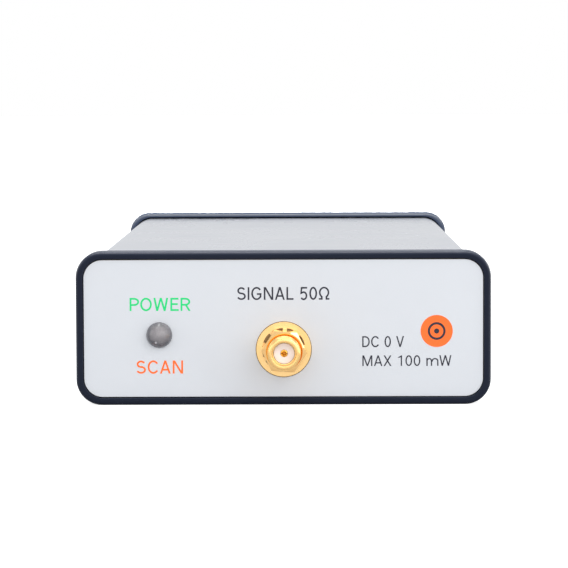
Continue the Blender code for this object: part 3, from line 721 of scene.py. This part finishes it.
# ------------------------------------------------------------------- labels
WASHER_X, WASHER_Z = middle("input_jack_lock_washer", 0), middle("input_jack_lock_washer", 2)
RF_X, RF_Z = middle("input_jack_dielectric", 0), middle("input_jack_dielectric", 2)
LAMP_X, LAMP_Z = middle("status_lamp", 0), middle("status_lamp", 2)
USB_X, USB_Z = middle("usb_socket_shell", 0), middle("usb_socket_shell", 2)
TRIG_X, TRIG_Z = middle("trigger_jack_lock_washer", 0), middle("trigger_jack_lock_washer", 2)
LABEL_LOOP = box_loop(0, CZ, OPEN_W - 0.36, OPEN_H - 0.36, OPEN_R - 0.18, 16)
front_label_y = span_of("front_label", 1)
rear_label_y = span_of("rear_label", 1)
front_film = piece(
    "front_label_film",
    extruded([LABEL_LOOP, circle(LAMP_X, LAMP_Z, 2.50, 64), circle(WASHER_X, WASHER_Z, 5.44, 96)], *front_label_y),
    LABEL,
    "front_label",
)
piece(
    "rear_label_film",
    extruded(
        [LABEL_LOOP, box_loop(USB_X, USB_Z, 12.9, 11.9, 0.6, 6), circle(TRIG_X, TRIG_Z, 6.6, 96)]
        + [circle(x, z, 3.15, 48) for x, z in SCREWS],
        *rear_label_y,
    ),
    LABEL,
    "rear_label",
)


# ----------------------------------------------------------------- lettering
def ell(cx, cy, rx, ry, a0, a1, n=20):
    return [
        (cx + rx * math.cos(math.radians(a0 + (a1 - a0) * k / n)), cy + ry * math.sin(math.radians(a0 + (a1 - a0) * k / n)))
        for k in range(n + 1)
    ]


def glyphs(s):
    """Plain stroke letters, cap height 1, stroke width s. Each is (advance, [(kind, points)]): "path" is an open line with square ends, "ring" a closed one, "slant" a bar whose ends are cut level."""
    lo, hi = s / 2, 1 - s / 2
    xh = 0.74
    a = s / 2
    g = {}
    g[" "] = (0.34, [])
    g["P"] = (0.70, [("path", [(0.06 + a, 0), (0.06 + a, 1)]),
                     ("path", [(0.06 + a, hi), (0.36, hi)] + ell(0.36, (hi + 0.46) / 2, 0.26, (hi - 0.46) / 2, 90, -90) + [(0.06 + a, 0.46)])])
    g["R"] = (0.74, [("path", [(0.06 + a, 0), (0.06 + a, 1)]),
                     ("path", [(0.06 + a, hi), (0.38, hi)] + ell(0.38, (hi + 0.47) / 2, 0.25, (hi - 0.47) / 2, 90, -90) + [(0.06 + a, 0.47)]),
                     ("slant", [(0.40, 0.48), (0.64, 0)])])
    g["O"] = (0.84, [("ring", ell(0.42, 0.5, 0.42 - a - 0.04, 0.5 - a + 0.012, 0, 360, 40)[:-1])])
    g["0"] = (0.64, [("ring", ell(0.32, 0.5, 0.25 - a + 0.02, 0.5 - a + 0.008, 0, 360, 36)[:-1])])
    g["W"] = (1.06, [("slant", [(0.05 + a, 1), (0.29, 0)]), ("slant", [(0.29, 0), (0.53, 1)]),
                     ("slant", [(0.53, 1), (0.77, 0)]), ("slant", [(0.77, 0), (1.01 - a, 1)])])
    g["V"] = (0.72, [("slant", [(0.03 + a, 1), (0.36, 0)]), ("slant", [(0.36, 0), (0.69 - a, 1)])])
    g["A"] = (0.74, [("slant", [(0.03 + a, 0), (0.37, 1)]), ("slant", [(0.37, 1), (0.71 - a, 0)]),
                     ("path", [(0.16, 0.30), (0.58, 0.30)])])
    g["X"] = (0.72, [("slant", [(0.05 + a, 1), (0.67 - a, 0)]), ("slant", [(0.05 + a, 0), (0.67 - a, 1)])])
    g["N"] = (0.80, [("path", [(0.07 + a, 0), (0.07 + a, 1)]), ("path", [(0.73 - a, 0), (0.73 - a, 1)]),
                     ("slant", [(0.09 + a, 1), (0.71 - a, 0)])])
    g["M"] = (0.94, [("path", [(0.07 + a, 0), (0.07 + a, 1)]), ("path", [(0.87 - a, 0), (0.87 - a, 1)]),
                     ("slant", [(0.10 + a, 1), (0.47, 0)]), ("slant", [(0.47, 0), (0.84 - a, 1)])])
    g["E"] = (0.66, [("path", [(0.07 + a, 0), (0.07 + a, 1)]), ("path", [(0.07 + a, hi), (0.60, hi)]),
                     ("path", [(0.07 + a, 0.52), (0.55, 0.52)]), ("path", [(0.07 + a, lo), (0.61, lo)])])
    g["F"] = (0.62, [("path", [(0.07 + a, 0), (0.07 + a, 1)]), ("path", [(0.07 + a, hi), (0.58, hi)]),
                     ("path", [(0.07 + a, 0.50), (0.53, 0.50)])])
    g["T"] = (0.66, [("path", [(0.03, hi), (0.63, hi)]), ("path", [(0.33, 0), (0.33, 1)])])
    g["I"] = (0.28, [("path", [(0.14, 0), (0.14, 1)])])
    g["D"] = (0.76, [("path", [(0.07 + a, 0), (0.07 + a, 1)]),
                     ("path", [(0.07 + a, hi), (0.33, hi)] + ell(0.33, 0.5, 0.37 - a, hi - 0.5, 90, -90, 28) + [(0.07 + a, lo)])])
    g["L"] = (0.60, [("path", [(0.07 + a, 0), (0.07 + a, 1)]), ("path", [(0.07 + a, lo), (0.56, lo)])])
    g["C"] = (0.76, [("path", ell(0.40, 0.5, 0.34 - a + 0.02, 0.5 - a + 0.012, 36, 324, 34))])
    g["G"] = (0.82, [("path", ell(0.41, 0.5, 0.35 - a + 0.02, 0.5 - a + 0.012, 38, 318, 34) + [(0.74 - a, 0.24), (0.74 - a, 0.46)]),
                     ("path", [(0.43, 0.46), (0.74, 0.46)])])
    up, dn = (hi + 0.51) / 2, (lo + 0.51) / 2
    g["S"] = (0.70, [("path", ell(0.35, up, 0.26 - a + 0.02, hi - up, 22, 270, 24) + ell(0.35, dn, 0.29 - a + 0.02, 0.51 - dn, 90, -158, 26)[1:])])
    g["5"] = (0.64, [("path", [(0.55, hi), (0.17, hi), (0.125, 0.50)]
                      + ell(0.305, 0.315, 0.25 - a + 0.01, 0.315 - a + 0.03, 125, -145, 26))])
    g["1"] = (0.64, [("path", [(0.38, 0), (0.38, 1)]), ("slant", [(0.17, 0.78), (0.37, 0.93)])])
    side = ell(0.42, 0.565, 0.36 - a, hi - 0.565 + 0.01, -58, 238, 40)
    g["Ω"] = (0.86, [("path", [(0.78, lo), (side[0][0], lo), side[0]] + side[1:-1] + [side[-1], (side[-1][0], lo), (0.06, lo)])])
    g["m"] = (1.02, [("path", [(0.06 + a, 0), (0.06 + a, xh)]),
                     ("path", [(0.06 + a, 0.46)] + ell(0.295, 0.46, 0.235 - a, xh - a - 0.46, 180, 0, 16) + [(0.53 - a, 0)]),
                     ("path", [(0.53 - a, 0.46)] + ell(0.745, 0.46, 0.215, xh - a - 0.46, 180, 0, 16) + [(0.96, 0)])])
    return g


def stroke_mesh(bm, kind, pts, s, place, depth):
    """Adds one flat stroke to bm: place maps letter coordinates and a height to a point."""
    if kind == "slant":
        (x0, y0), (x1, y1) = pts
        run, rise = x1 - x0, y1 - y0
        t = s * math.hypot(run, rise) / max(abs(rise), 1e-6) / 2
        t = min(t, s * 1.1)
        quad = [(x0 - t, y0), (x0 + t, y0), (x1 + t, y1), (x1 - t, y1)]
        left, right = [quad[0], quad[3]], [quad[1], quad[2]]
        closed = False
    else:
        closed = kind == "ring"
        pts = [p for i, p in enumerate(pts) if not i or math.dist(p, pts[i - 1]) > 1e-6]
        n = len(pts)
        left, right = [], []
        for i, (x, y) in enumerate(pts):
            p = Vector((x, y))
            before = Vector(pts[i - 1]) if (i or closed) else None
            after = Vector(pts[(i + 1) % n]) if (i < n - 1 or closed) else None
            d0 = (p - before).normalized() if before is not None and (p - before).length > 1e-7 else None
            d1 = (after - p).normalized() if after is not None and (after - p).length > 1e-7 else None
            if d0 is None:
                d0 = d1
            if d1 is None:
                d1 = d0
            n0, n1 = Vector((-d0.y, d0.x)), Vector((-d1.y, d1.x))
            m = (n0 + n1).normalized()
            k = min(1 / max(m.dot(n0), 0.4), 1.6)
            left.append(tuple(p + m * (s / 2 * k)))
            right.append(tuple(p - m * (s / 2 * k)))
    tl = [bm.verts.new(place(*p, depth)) for p in left]
    tr = [bm.verts.new(place(*p, depth)) for p in right]
    bl = [bm.verts.new(place(*p, 0)) for p in left]
    br = [bm.verts.new(place(*p, 0)) for p in right]
    n = len(tl)
    for i in range(n if closed else n - 1):
        j = (i + 1) % n
        bm.faces.new((tl[i], tl[j], tr[j], tr[i]))
        bm.faces.new((bl[i], tl[i], tl[j], bl[j])[::-1])
        bm.faces.new((br[i], br[j], tr[j], tr[i])[::-1])
    if not closed:
        bm.faces.new((bl[0], tl[0], tr[0], br[0]))
        bm.faces.new((bl[-1], br[-1], tr[-1], tl[-1]))


def lettering(name, text, left, bottom, width, height, weight, mat, rear=False):
    """Printed letters on a label: from left to left + width seen from outside, standing on bottom."""
    g = glyphs(weight)
    natural = sum(g[ch][0] for ch in text)
    wide = width / height / natural
    bm = bmesh.new()
    face = rear_label_y[1] if rear else front_label_y[0]
    sign = 1 if rear else -1
    pen, k = 0.0, 0
    for ch in text:
        adv, strokes = g[ch]
        for kind, pts in strokes:
            k += 1
            base = 0.010 + 0.0012 * (k % 5)

            def place(u, v, d, pen=pen):
                x = left + (pen + u) * height
                return (-x if rear else x, face + sign * (0.001 + (base if d else 0)), bottom + v * height)

            stroke_mesh(bm, kind, [(u * wide, v) for u, v in pts], weight, place, 1)
        pen += adv * wide
    bmesh.ops.recalc_face_normals(bm, faces=bm.faces)
    return piece(name, bm, mat, flat=True)


lettering("print_power", "POWER", -29.95, 18.32, 12.10, 2.54, 0.138, INK_GREEN)
lettering("print_scan", "SCAN", -28.72, 6.13, 9.52, 2.55, 0.138, INK_ORANGE)
lettering("print_port", "SIGNAL 50Ω", -9.10, 20.41, 18.25, 2.48, 0.128, INK_DARK)
lettering("print_dc", "DC 0 V", 15.08, 11.17, 8.35, 2.13, 0.122, INK_DARK)
lettering("print_limit", "MAX 100 mW", 15.08, 7.49, 17.58, 2.07, 0.122, INK_DARK)
lettering("print_data", "DATA", -USB_X - 10.4, 4.6, 8.2, 2.1, 0.122, INK_DARK, rear=True)
lettering("print_supply", "DC 5 V", -USB_X + 0.6, 4.6, 8.9, 2.1, 0.122, INK_DARK, rear=True)
lettering("print_trig", "TRIG IN", -TRIG_X - 5.0, 4.6, 10.6, 2.1, 0.122, INK_DARK, rear=True)


def disc_mark():
    """Round orange mark with a ring and a dot, beside the rating lines."""
    cx, cz = 29.66, 14.27
    y = front_label_y[0]
    return (
        extruded([circle(cx, cz, 3.12, 96)], y - 0.012, y - 0.001),
        extruded([circle(cx, cz, 1.72, 96), circle(cx, cz, 1.28, 96)], y - 0.018, y - 0.0122),
        extruded([circle(cx, cz, 0.50, 48)], y - 0.018, y - 0.0122),
    )


for part_name, mesh_part, mat in zip(
    ("mark_disc", "mark_ring", "mark_dot"), disc_mark(), (INK_ORANGE, INK_DARK, INK_DARK)
):
    piece(part_name, mesh_part, mat, flat=True)

# ------------------------------------------------------- threaded input jack
jack_y = span_of("input_jack_body", 1)
washer_y = span_of("input_jack_lock_washer", 1)
nut_y = span_of("input_jack_nut", 1)
TIP = -jack_y[0]  # distance of the rim in front of the row origin
PITCH, RF_R, RF_ROOT = 0.7056, 3.175, 2.80


def thread_radius(r, d, a, pitch=PITCH, major=RF_R, root=RF_ROOT, marker=1000.0):
    """Profile radii above the marker mean "thread here": a 60 degree form with flats, right-handed seen from outside."""
    if r < marker:
        return r
    limit = r - marker
    if major == RF_R and abs(d + nut_y[0]) < 0.8:
        root = 3.08  # the burnished stretch the nut has been run over
    phase = (d / pitch + a / (2 * math.pi)) % 1.0
    t = abs(phase - 0.5) * 2  # 0 on the crest, 1 on the root
    rise = min(max((t - 0.16) / 0.62, 0.0), 1.0)
    return min(major - (major - root) * rise, limit)


rim = TIP
profile = [(2.36, rim)]
profile += [(2.36 + 0.42 * k / 3, rim) for k in range(1, 3)]
profile += [(2.78, rim), (2.84, rim - 0.03)]
start, end = rim - 0.06, -washer_y[1] + 0.1
steps = int((start - end) / (PITCH / 14))
for k in range(steps + 1):
    d = start + (end - start) * k / steps
    # the lead-in chamfer limits the crest near the rim
    profile.append((1000.0 + min(RF_R, 2.86 + (start - d) * 0.95), d))
flange_back = -jack_y[1]
profile += [(RF_ROOT, end - 0.02), (RF_ROOT, end - 2.0), (2.06, end - 2.0), (2.06, rim - 1.9), (2.22, rim - 1.9), (2.28, rim - 1.84)]
profile += [(2.30, rim - 1.0), (2.30, rim - 0.09), (2.315, rim - 0.04)]
barrel = revolved(profile, RF_X, 0, RF_Z, 120, True, thread_radius)
piece("input_jack_barrel", barrel, GOLD, "input_jack_body", angle=50)
bulk_y = (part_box("front_panel")[1][1] * 1000 + 0.13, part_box("front_panel")[1][1] * 1000 + 1.73)
piece(
    "input_jack_flange",
    extruded([box_loop(RF_X, RF_Z, 9.6, 8.0, 0.6, 6), circle(RF_X, RF_Z, 2.9, 48)], *bulk_y),
    GOLD,
)
for i, (sx, sz) in enumerate([(-1, 1), (1, 1), (-1, -1), (1, -1)], 1):
    x = RF_X + sx * 3.6
    z = (BOARD_TOP + 0.12, BOARD_TOP + 1.15) if sz > 0 else (BOARD_TOP - BOARD_T - 1.15, BOARD_TOP - BOARD_T - 0.12)
    piece(
        f"input_jack_leg_{i}",
        extruded([box_loop(x, (z[0] + z[1]) / 2, 1.0, z[1] - z[0], 0.1, 3)], bulk_y[1] - 0.1, bulk_y[1] + 5.0),
        GOLD,
    )

d0, d1 = span_of("input_jack_dielectric", 1)
piece(
    "input_jack_insulator",
    revolved([(0.71, -d0 - 0.10), (0.78, -d0), (1.93, -d0), (1.99, -d0 - 0.06), (1.99, -d1), (0.71, -d1)], RF_X, 0, RF_Z, 72),
    PTFE,
    "input_jack_dielectric",
)

# centre contact: four fingers, chamfered mouth
c0, c1 = span_of("input_jack_contact", 1)
mouth = -d0 + 0.02
contact_bm = revolved(
    [(0.30, mouth - 0.26), (0.38, mouth - 0.08), (0.47, mouth), (0.60, mouth), (0.665, mouth - 0.04), (0.69, mouth - 0.12), (0.69, -c1 + 0.2), (0.05, -c1), (0.05, mouth - 1.1), (0.30, mouth - 0.9)],
    RF_X,
    0,
    RF_Z,
    48,
)
slots = []
for w, h in ((3.0, 0.15), (0.15, 3.0)):
    slots.append(extruded([box_loop(RF_X, RF_Z, w, h)], -mouth - 1, -mouth + 2.4))
piece("input_jack_pin_socket", cut(contact_bm, *slots), GOLD_CONTACT, "input_jack_contact")


def lock_washer(cx, cz, outer, root, tip_r, teeth, turn, y0, y1, front, twist=0.16):
    """Internal-tooth lock washer. The ring is flat with eased edges; each tooth is a bent blade that twists out of the ring's plane."""
    sub = 12
    n = teeth * sub
    t = y1 - y0
    ease = 0.05

    def ring(r, y):
        return [(cx + r * math.cos(turn + 2 * math.pi * i / n), y, cz + r * math.sin(turn + 2 * math.pi * i / n)) for i in range(n)]

    bm = tube([ring(root, y0), ring(outer - ease, y0), ring(outer, y0 + ease), ring(outer, y1 - ease), ring(outer - ease, y1), ring(root, y1)])
    step = 2 * math.pi / teeth
    for k in range(teeth):
        a = turn + (k + 0.5) * step
        half = 0.135 * step
        rows = []
        for f in (0.0, 0.35, 0.7, 1.0):
            r = root + 0.05 + (tip_r - root - 0.05) * f
            lean = twist * f
            w = half * (1.0 - 0.10 * f) * root / r
            quad = []
            for side, yy in ((-1, y0 + 0.03), (1, y0 + 0.03), (1, y1 - 0.03), (-1, y1 - 0.03)):
                ang = a + side * w
                quad.append((cx + r * math.cos(ang), yy + side * lean * 0.5, cz + r * math.sin(ang)))
            rows.append(quad)
        extra = tube(rows, closed=False, caps=True)
        mesh = bpy.data.meshes.new("tooth")
        extra.to_mesh(mesh)
        extra.free()
        bm.from_mesh(mesh)
        bpy.data.meshes.remove(mesh)
    return bm


piece(
    "input_jack_washer",
    lock_washer(WASHER_X, WASHER_Z, 5.3, 4.20, 3.40, 9, math.radians(66.5), washer_y[0], washer_y[1], True),
    GOLD_FLAT,
    "input_jack_lock_washer",
    angle=40,
)


def hex_nut(cx, cz, flats, hole, y0, y1, turn, seg=20, crown=0.97, lead=0.33, deep=0.27):
    """Hexagon nut with the corners turned away at 30 degrees on both faces and a countersunk thread mouth."""
    n = 6 * seg
    loops = []

    def hex_r(a):
        b = (a - turn) % (math.pi / 3) - math.pi / 6
        return flats / 2 / math.cos(b)

    face_r = flats / 2 * crown

    def loop(rf, yf):
        out = []
        for k in range(n):
            a = turn + 2 * math.pi * k / n
            out.append((cx + rf(a) * math.cos(a), yf(a), cz + rf(a) * math.sin(a)))
        return out

    def drop(a):
        return max(hex_r(a) - face_r, 0.0) * math.tan(math.radians(30))

    loops.append(loop(lambda a: hole + 0.0, lambda a: y0 + deep))
    loops.append(loop(lambda a: hole + lead, lambda a: y0))
    loops.append(loop(lambda a: face_r, lambda a: y0))
    loops.append(loop(hex_r, lambda a: y0 + drop(a)))
    loops.append(loop(hex_r, lambda a: y1 - drop(a)))
    loops.append(loop(lambda a: face_r, lambda a: y1))
    loops.append(loop(lambda a: hole + lead, lambda a: y1))
    loops.append(loop(lambda a: hole + 0.0, lambda a: y1 - deep))
    return tube(loops)


piece(
    "input_jack_hex_nut",
    hex_nut(RF_X, RF_Z, 7.65, 3.19, nut_y[0], nut_y[1], math.radians(-4)),
    GOLD_NUT,
    "input_jack_nut",
    angle=22,
)

# -------------------------------------------------------------- status lamp
lamp_y = span_of("status_lamp", 1)
LR = 2.47
back = lamp_y[1]
dome_centre = lamp_y[0] + LR
lamp_profile = [(0.001, -lamp_y[0])]
for k in range(1, 25):
    a = math.radians(90 - 90 * k / 24)
    lamp_profile.append((LR * math.cos(a), -(dome_centre - LR * math.sin(a))))
lamp_profile += [(LR, -(back - 1.06)), (LR + 0.05, -(back - 1.0)), (2.80, -(back - 1.0)), (2.85, -(back - 0.95)), (2.85, -(back - 0.05)), (2.80, -back), (0.001, -back)]
piece("status_lamp_dome", solid_turned(lamp_profile, LAMP_X, 0, LAMP_Z, 72), LENS, "status_lamp", angle=40)

# ------------------------------------------------------------ trigger jack
trig_y = span_of("trigger_jack_body", 1)
TT = trig_y[1]
panel_out = rear_label_y[1]
BUSH = panel_out + 4.3


def bush_thread(r, d, a):
    return thread_radius(r, d, a, pitch=0.794, major=6.2, root=5.8)


tp = [(4.10, TT), (4.50, TT), (4.62, TT - 0.05), (4.78, TT - 0.35), (4.80, TT - 0.5), (4.80, BUSH + 0.35), (4.95, BUSH + 0.06), (5.1, BUSH), (5.85, BUSH)]
k_steps = 90
for k in range(k_steps + 1):
    d = BUSH - 0.03 + (panel_out - 2.5 - BUSH) * k / k_steps
    tp.append((1000.0 + min(6.2, 5.88 + (BUSH - d) * 0.9), d))
tp += [(6.2, panel_out - 2.6), (6.2, 158.2 + Y0), (2.5, 158.2 + Y0), (2.5, BUSH + 0.6), (4.05, BUSH + 0.6), (4.05, TT - 0.06)]
tp = [(r, d) for r, d in tp]
trig_bm = revolved(tp, TRIG_X, 0, TRIG_Z, 96, False, bush_thread)
piece("trigger_jack_barrel", trig_bm, NICKEL, "trigger_jack_body", angle=45)
for i, sx in enumerate((-1, 1), 1):
    lug = bmesh.new()
    rows = []
    for r, xx in ((0.985, 4.7), (0.985, 5.42), (0.93, 5.53), (0.80, 5.56)):
        rows.append(
            [
                (TRIG_X + sx * xx, TT - 5.0 + r * math.cos(2 * math.pi * k / 28), TRIG_Z + r * math.sin(2 * math.pi * k / 28))
                for k in range(28)
            ]
        )
    lug.free()
    piece(f"trigger_jack_lug_{i}", tube(rows, closed=False, caps=True), NICKEL)
td = span_of("trigger_jack_dielectric", 1)
piece(
    "trigger_jack_insulator",
    revolved(
        [(0.85, td[1] - 0.05), (0.92, td[1]), (2.0, td[1]), (2.30, td[1] - 0.22), (2.38, td[1] - 0.5), (2.38, td[0]), (0.85, td[0])],
        TRIG_X,
        0,
        TRIG_Z,
        64,
        False,
    ),
    PTFE,
    "trigger_jack_dielectric",
)
tw = span_of("trigger_jack_lock_washer", 1)
piece(
    "trigger_jack_washer",
    lock_washer(TRIG_X, TRIG_Z, 8.6, 7.4, 6.40, 12, 0.0, tw[0], tw[1], False),
    NICKEL,
    "trigger_jack_lock_washer",
    angle=40,
)
tn = span_of("trigger_jack_nut", 1)
piece(
    "trigger_jack_hex_nut",
    hex_nut(TRIG_X, TRIG_Z, 15.8, 6.25, tn[0], tn[1], math.radians(8), crown=0.96, lead=0.35),
    NICKEL,
    "trigger_jack_nut",
    angle=22,
)

# --------------------------------------------------------------- data socket
us = span_of("usb_socket_shell", 1)
outer = box_loop(USB_X, USB_Z, 12.0, 11.0, 0.7, 8)
inner = box_loop(USB_X, USB_Z, 11.1, 10.1, 0.35, 8)
shell_loops = []
ease = 0.10
for scale_w, yy in ((0, us[0]), (0, us[1] - ease), (ease, us[1])):
    shell_loops.append([(x, yy, z) for x, z in box_loop(USB_X, USB_Z, 12.0 - 2 * scale_w, 11.0 - 2 * scale_w, 0.7, 8)])
for scale_w, yy in ((ease, us[1]), (0, us[1] - ease), (0, us[0])):
    shell_loops.append([(x, yy, z) for x, z in box_loop(USB_X, USB_Z, 11.1 + 2 * scale_w, 10.1 + 2 * scale_w, 0.35 + scale_w, 8)])
piece("usb_socket_can", tube(shell_loops), NICKEL, "usb_socket_shell")

for n in ("usb_socket_insulator", "trigger_jack_housing", "status_lamp_holder"):
    md = frame["nodes"][n].modifiers.new("edge", "BEVEL")
    md.width, md.segments, md.limit_method, md.angle_limit = 0.12 * MM, 2, "ANGLE", math.radians(40)


# -------------------------------------------------------------- rear screws
def end_screw(name, x, z, y_head, spin):
    """Countersunk head with a cross recess that tapers, on a plain shank, its face to the rear."""
    head = solid_turned(
        [(0.001, 0.0), (2.30, 0.0), (2.40, -0.05), (2.43, -0.14), (1.18, -1.35), (1.18, -9.0), (0.55, -9.9), (0.001, -9.9)],
        0,
        0,
        0,
        56,
        False,
    )
    tools = []
    for k in range(2):
        a = spin + math.pi / 2 * k
        rows = []
        for yy, half, w in ((0.3, 1.42, 0.31), (-0.05, 1.36, 0.29), (-1.0, 0.55, 0.20)):
            quad = []
            for u, v in ((-half, -w), (half, -w), (half, w), (-half, w)):
                quad.append((u * math.cos(a) - v * math.sin(a), yy, u * math.sin(a) + v * math.cos(a)))
            rows.append(quad)
        tools.append(tube(rows, closed=False, caps=True))
    bm = cut(head, *tools)
    bmesh.ops.translate(bm, vec=(x, y_head, z), verts=bm.verts)
    return piece(name + "_body", bm, STEEL, name, angle=30)


for i, (x, z) in enumerate(SCREWS, 1):
    end_screw(f"rear_screw_{i}", x, z, span_of(f"rear_screw_{i}", 1)[1], math.radians(13 * i + 20))

# -------------------------------------------------------------------- stage
floor_mesh = bpy.data.meshes.new("floor")
fb = bmesh.new()
bmesh.ops.create_grid(fb, x_segments=1, y_segments=1, size=6.0)
fb.to_mesh(floor_mesh)
fb.free()
floor = bpy.data.objects.new("floor", floor_mesh)
floor.location = (0, 0, CAD_BOX[0][2])
scene.collection.objects.link(floor)
m, t, b = tree("floor")
b.inputs["Roughness"].default_value = 0.8
b.inputs["Specular IOR Level"].default_value = 0.1
pale = blend(t, noise(t, coords(t), 6.0), (0.58, 0.58, 0.585), (0.60, 0.60, 0.602))
t.links.new(pale, b.inputs["Base Color"])
path = new(t, "ShaderNodeLightPath")
glow = new(t, "ShaderNodeMath", operation="MULTIPLY")
glow.inputs[1].default_value = 0.80
t.links.new(path.outputs["Is Camera Ray"], glow.inputs[0])
b.inputs["Emission Color"].default_value = (1, 1, 1, 1)
t.links.new(glow.outputs["Value"], b.inputs["Emission Strength"])
floor_mesh.materials.append(m)

# ------------------------------------------------------------------- lights
world = bpy.data.worlds.new("studio")
scene.world = world
world.use_nodes = True
wt = world.node_tree
bg = wt.nodes["Background"]
path = new(wt, "ShaderNodeLightPath")
level = new(wt, "ShaderNodeMapRange")
level.inputs["To Min"].default_value = 0.90
level.inputs["To Max"].default_value = 1.0
wt.links.new(path.outputs["Is Camera Ray"], level.inputs["Value"])
bg.inputs["Color"].default_value = (1, 1, 1, 1)
wt.links.new(level.outputs["Result"], bg.inputs["Strength"])


def softbox(name, size, radiance, place, aim, colour=(1, 1, 1), only=None, skip=None, tall=None):
    light = bpy.data.lights.new(name, "AREA")
    light.shape = "RECTANGLE"
    light.size, light.size_y = size
    light.energy = radiance * math.pi * size[0] * size[1]
    light.color = colour
    o = bpy.data.objects.new(name, light)
    o.location = place
    o.rotation_euler = (Vector(aim) - Vector(place)).to_track_quat("-Z", "Y").to_euler()
    if tall:
        w = (Vector(place) - Vector(aim)).normalized()
        v = (Vector(tall) - w * w.dot(Vector(tall))).normalized()
        o.rotation_euler = Matrix((v.cross(w), v, w)).transposed().to_euler()
    o.visible_camera = False
    scene.collection.objects.link(o)
    if only:
        group = bpy.data.collections.new(name + "_receivers")
        for r in only:
            group.objects.link(r)
        o.light_linking.receiver_collection = group
    if skip:
        group = bpy.data.collections.new(name + "_left_out")
        for r in skip:
            group.objects.link(r)
        for k in group.collection_objects:
            k.light_linking.link_state = "EXCLUDE"
        o.light_linking.receiver_collection = group
    return o


softbox("overhead", (1.0, 0.8), 1.3, (0.0, -0.25, 0.95), (0, 0, 0), skip=[extrusion, front_film])
softbox("front", (1.5, 1.0), 0.95, (0.15, -1.15, 0.42), (0, 0, 0), skip=[extrusion, front_bezel])
softbox("left", (0.6, 0.6), 1.2, (-0.95, -0.12, 0.30), (0, -0.05, 0), skip=[extrusion])
softbox("right", (0.6, 0.6), 1.5, (0.95, -0.12, 0.30), (0, -0.05, 0), skip=[extrusion])
softbox("left_case", (0.6, 0.6), 0.22, (-0.95, -0.12, 0.30), (0, -0.05, 0), only=[extrusion])
softbox("right_case", (0.6, 0.6), 0.28, (0.95, -0.12, 0.30), (0, -0.05, 0), only=[extrusion])
softbox("accent", (0.10, 0.78), 3.6, (0.525, -0.48 + front_lo[1], 0.39), (0, front_lo[1], 0.01), skip=[extrusion], tall=(-0.49, -0.04, 0.62))
softbox("bezel_top", (0.9, 0.40), 15.0, (0.0, 0.08, 0.95), (0, 0, 0.02), only=[front_bezel])
softbox("bezel_left", (0.6, 0.6), 5.5, (-0.80, 0.45, 0.25), (0, -0.07, 0.01), only=[front_bezel])
softbox("bezel_right", (0.6, 0.6), 8.5, (0.80, 0.45, 0.25), (0, -0.07, 0.01), only=[front_bezel])
softbox("lip_left", (0.5, 0.4), 16.0, (-0.60, 0.05, 0.52), (-0.04, 0.08, 0.03), (1.0, 0.985, 0.84), only=[rear_bezel])
softbox("lip_right", (0.5, 0.4), 16.0, (0.60, 0.05, 0.52), (0.04, 0.08, 0.03), (1.0, 0.985, 0.84), only=[rear_bezel])
softbox("back_low", (0.9, 0.16), 36.0, (0.0, 1.0, 0.17), (0, 0.08, 0.02), only=[rear_bezel])
softbox("lip", (0.9, 0.45), 30.0, (0.0, -0.38, 0.70), (0, 0.08, 0.03), (1.0, 0.985, 0.84), only=[rear_bezel])

# ------------------------------------------------------------------- camera
FRONT = front_lo[1]
cam_data = bpy.data.cameras.new("camera")
cam_data.sensor_width = 36.0
cam_data.lens = 2599.18 * 36.0 / 568.0
cam_data.clip_start, cam_data.clip_end = 0.05, 50
cam = bpy.data.objects.new("camera", cam_data)
yaw, pitch, roll = -0.00713, 0.0736890, -0.00360547
fwd = Vector((math.sin(yaw) * math.cos(pitch), math.cos(yaw) * math.cos(pitch), -math.sin(pitch)))
right = Vector((math.cos(yaw), -math.sin(yaw), 0))
up = right.cross(fwd)
r_axis = math.cos(roll) * right + math.sin(roll) * up
u_axis = -math.sin(roll) * right + math.cos(roll) * up
cam.matrix_world = Matrix.Translation((0.0037255, -0.5006606 + FRONT, 0.0604678)) @ Matrix((r_axis, u_axis, -fwd)).transposed().to_4x4()
scene.collection.objects.link(cam)
scene.camera = cam
scene.view_settings.view_transform = "Standard"
scene.view_settings.look = "None"
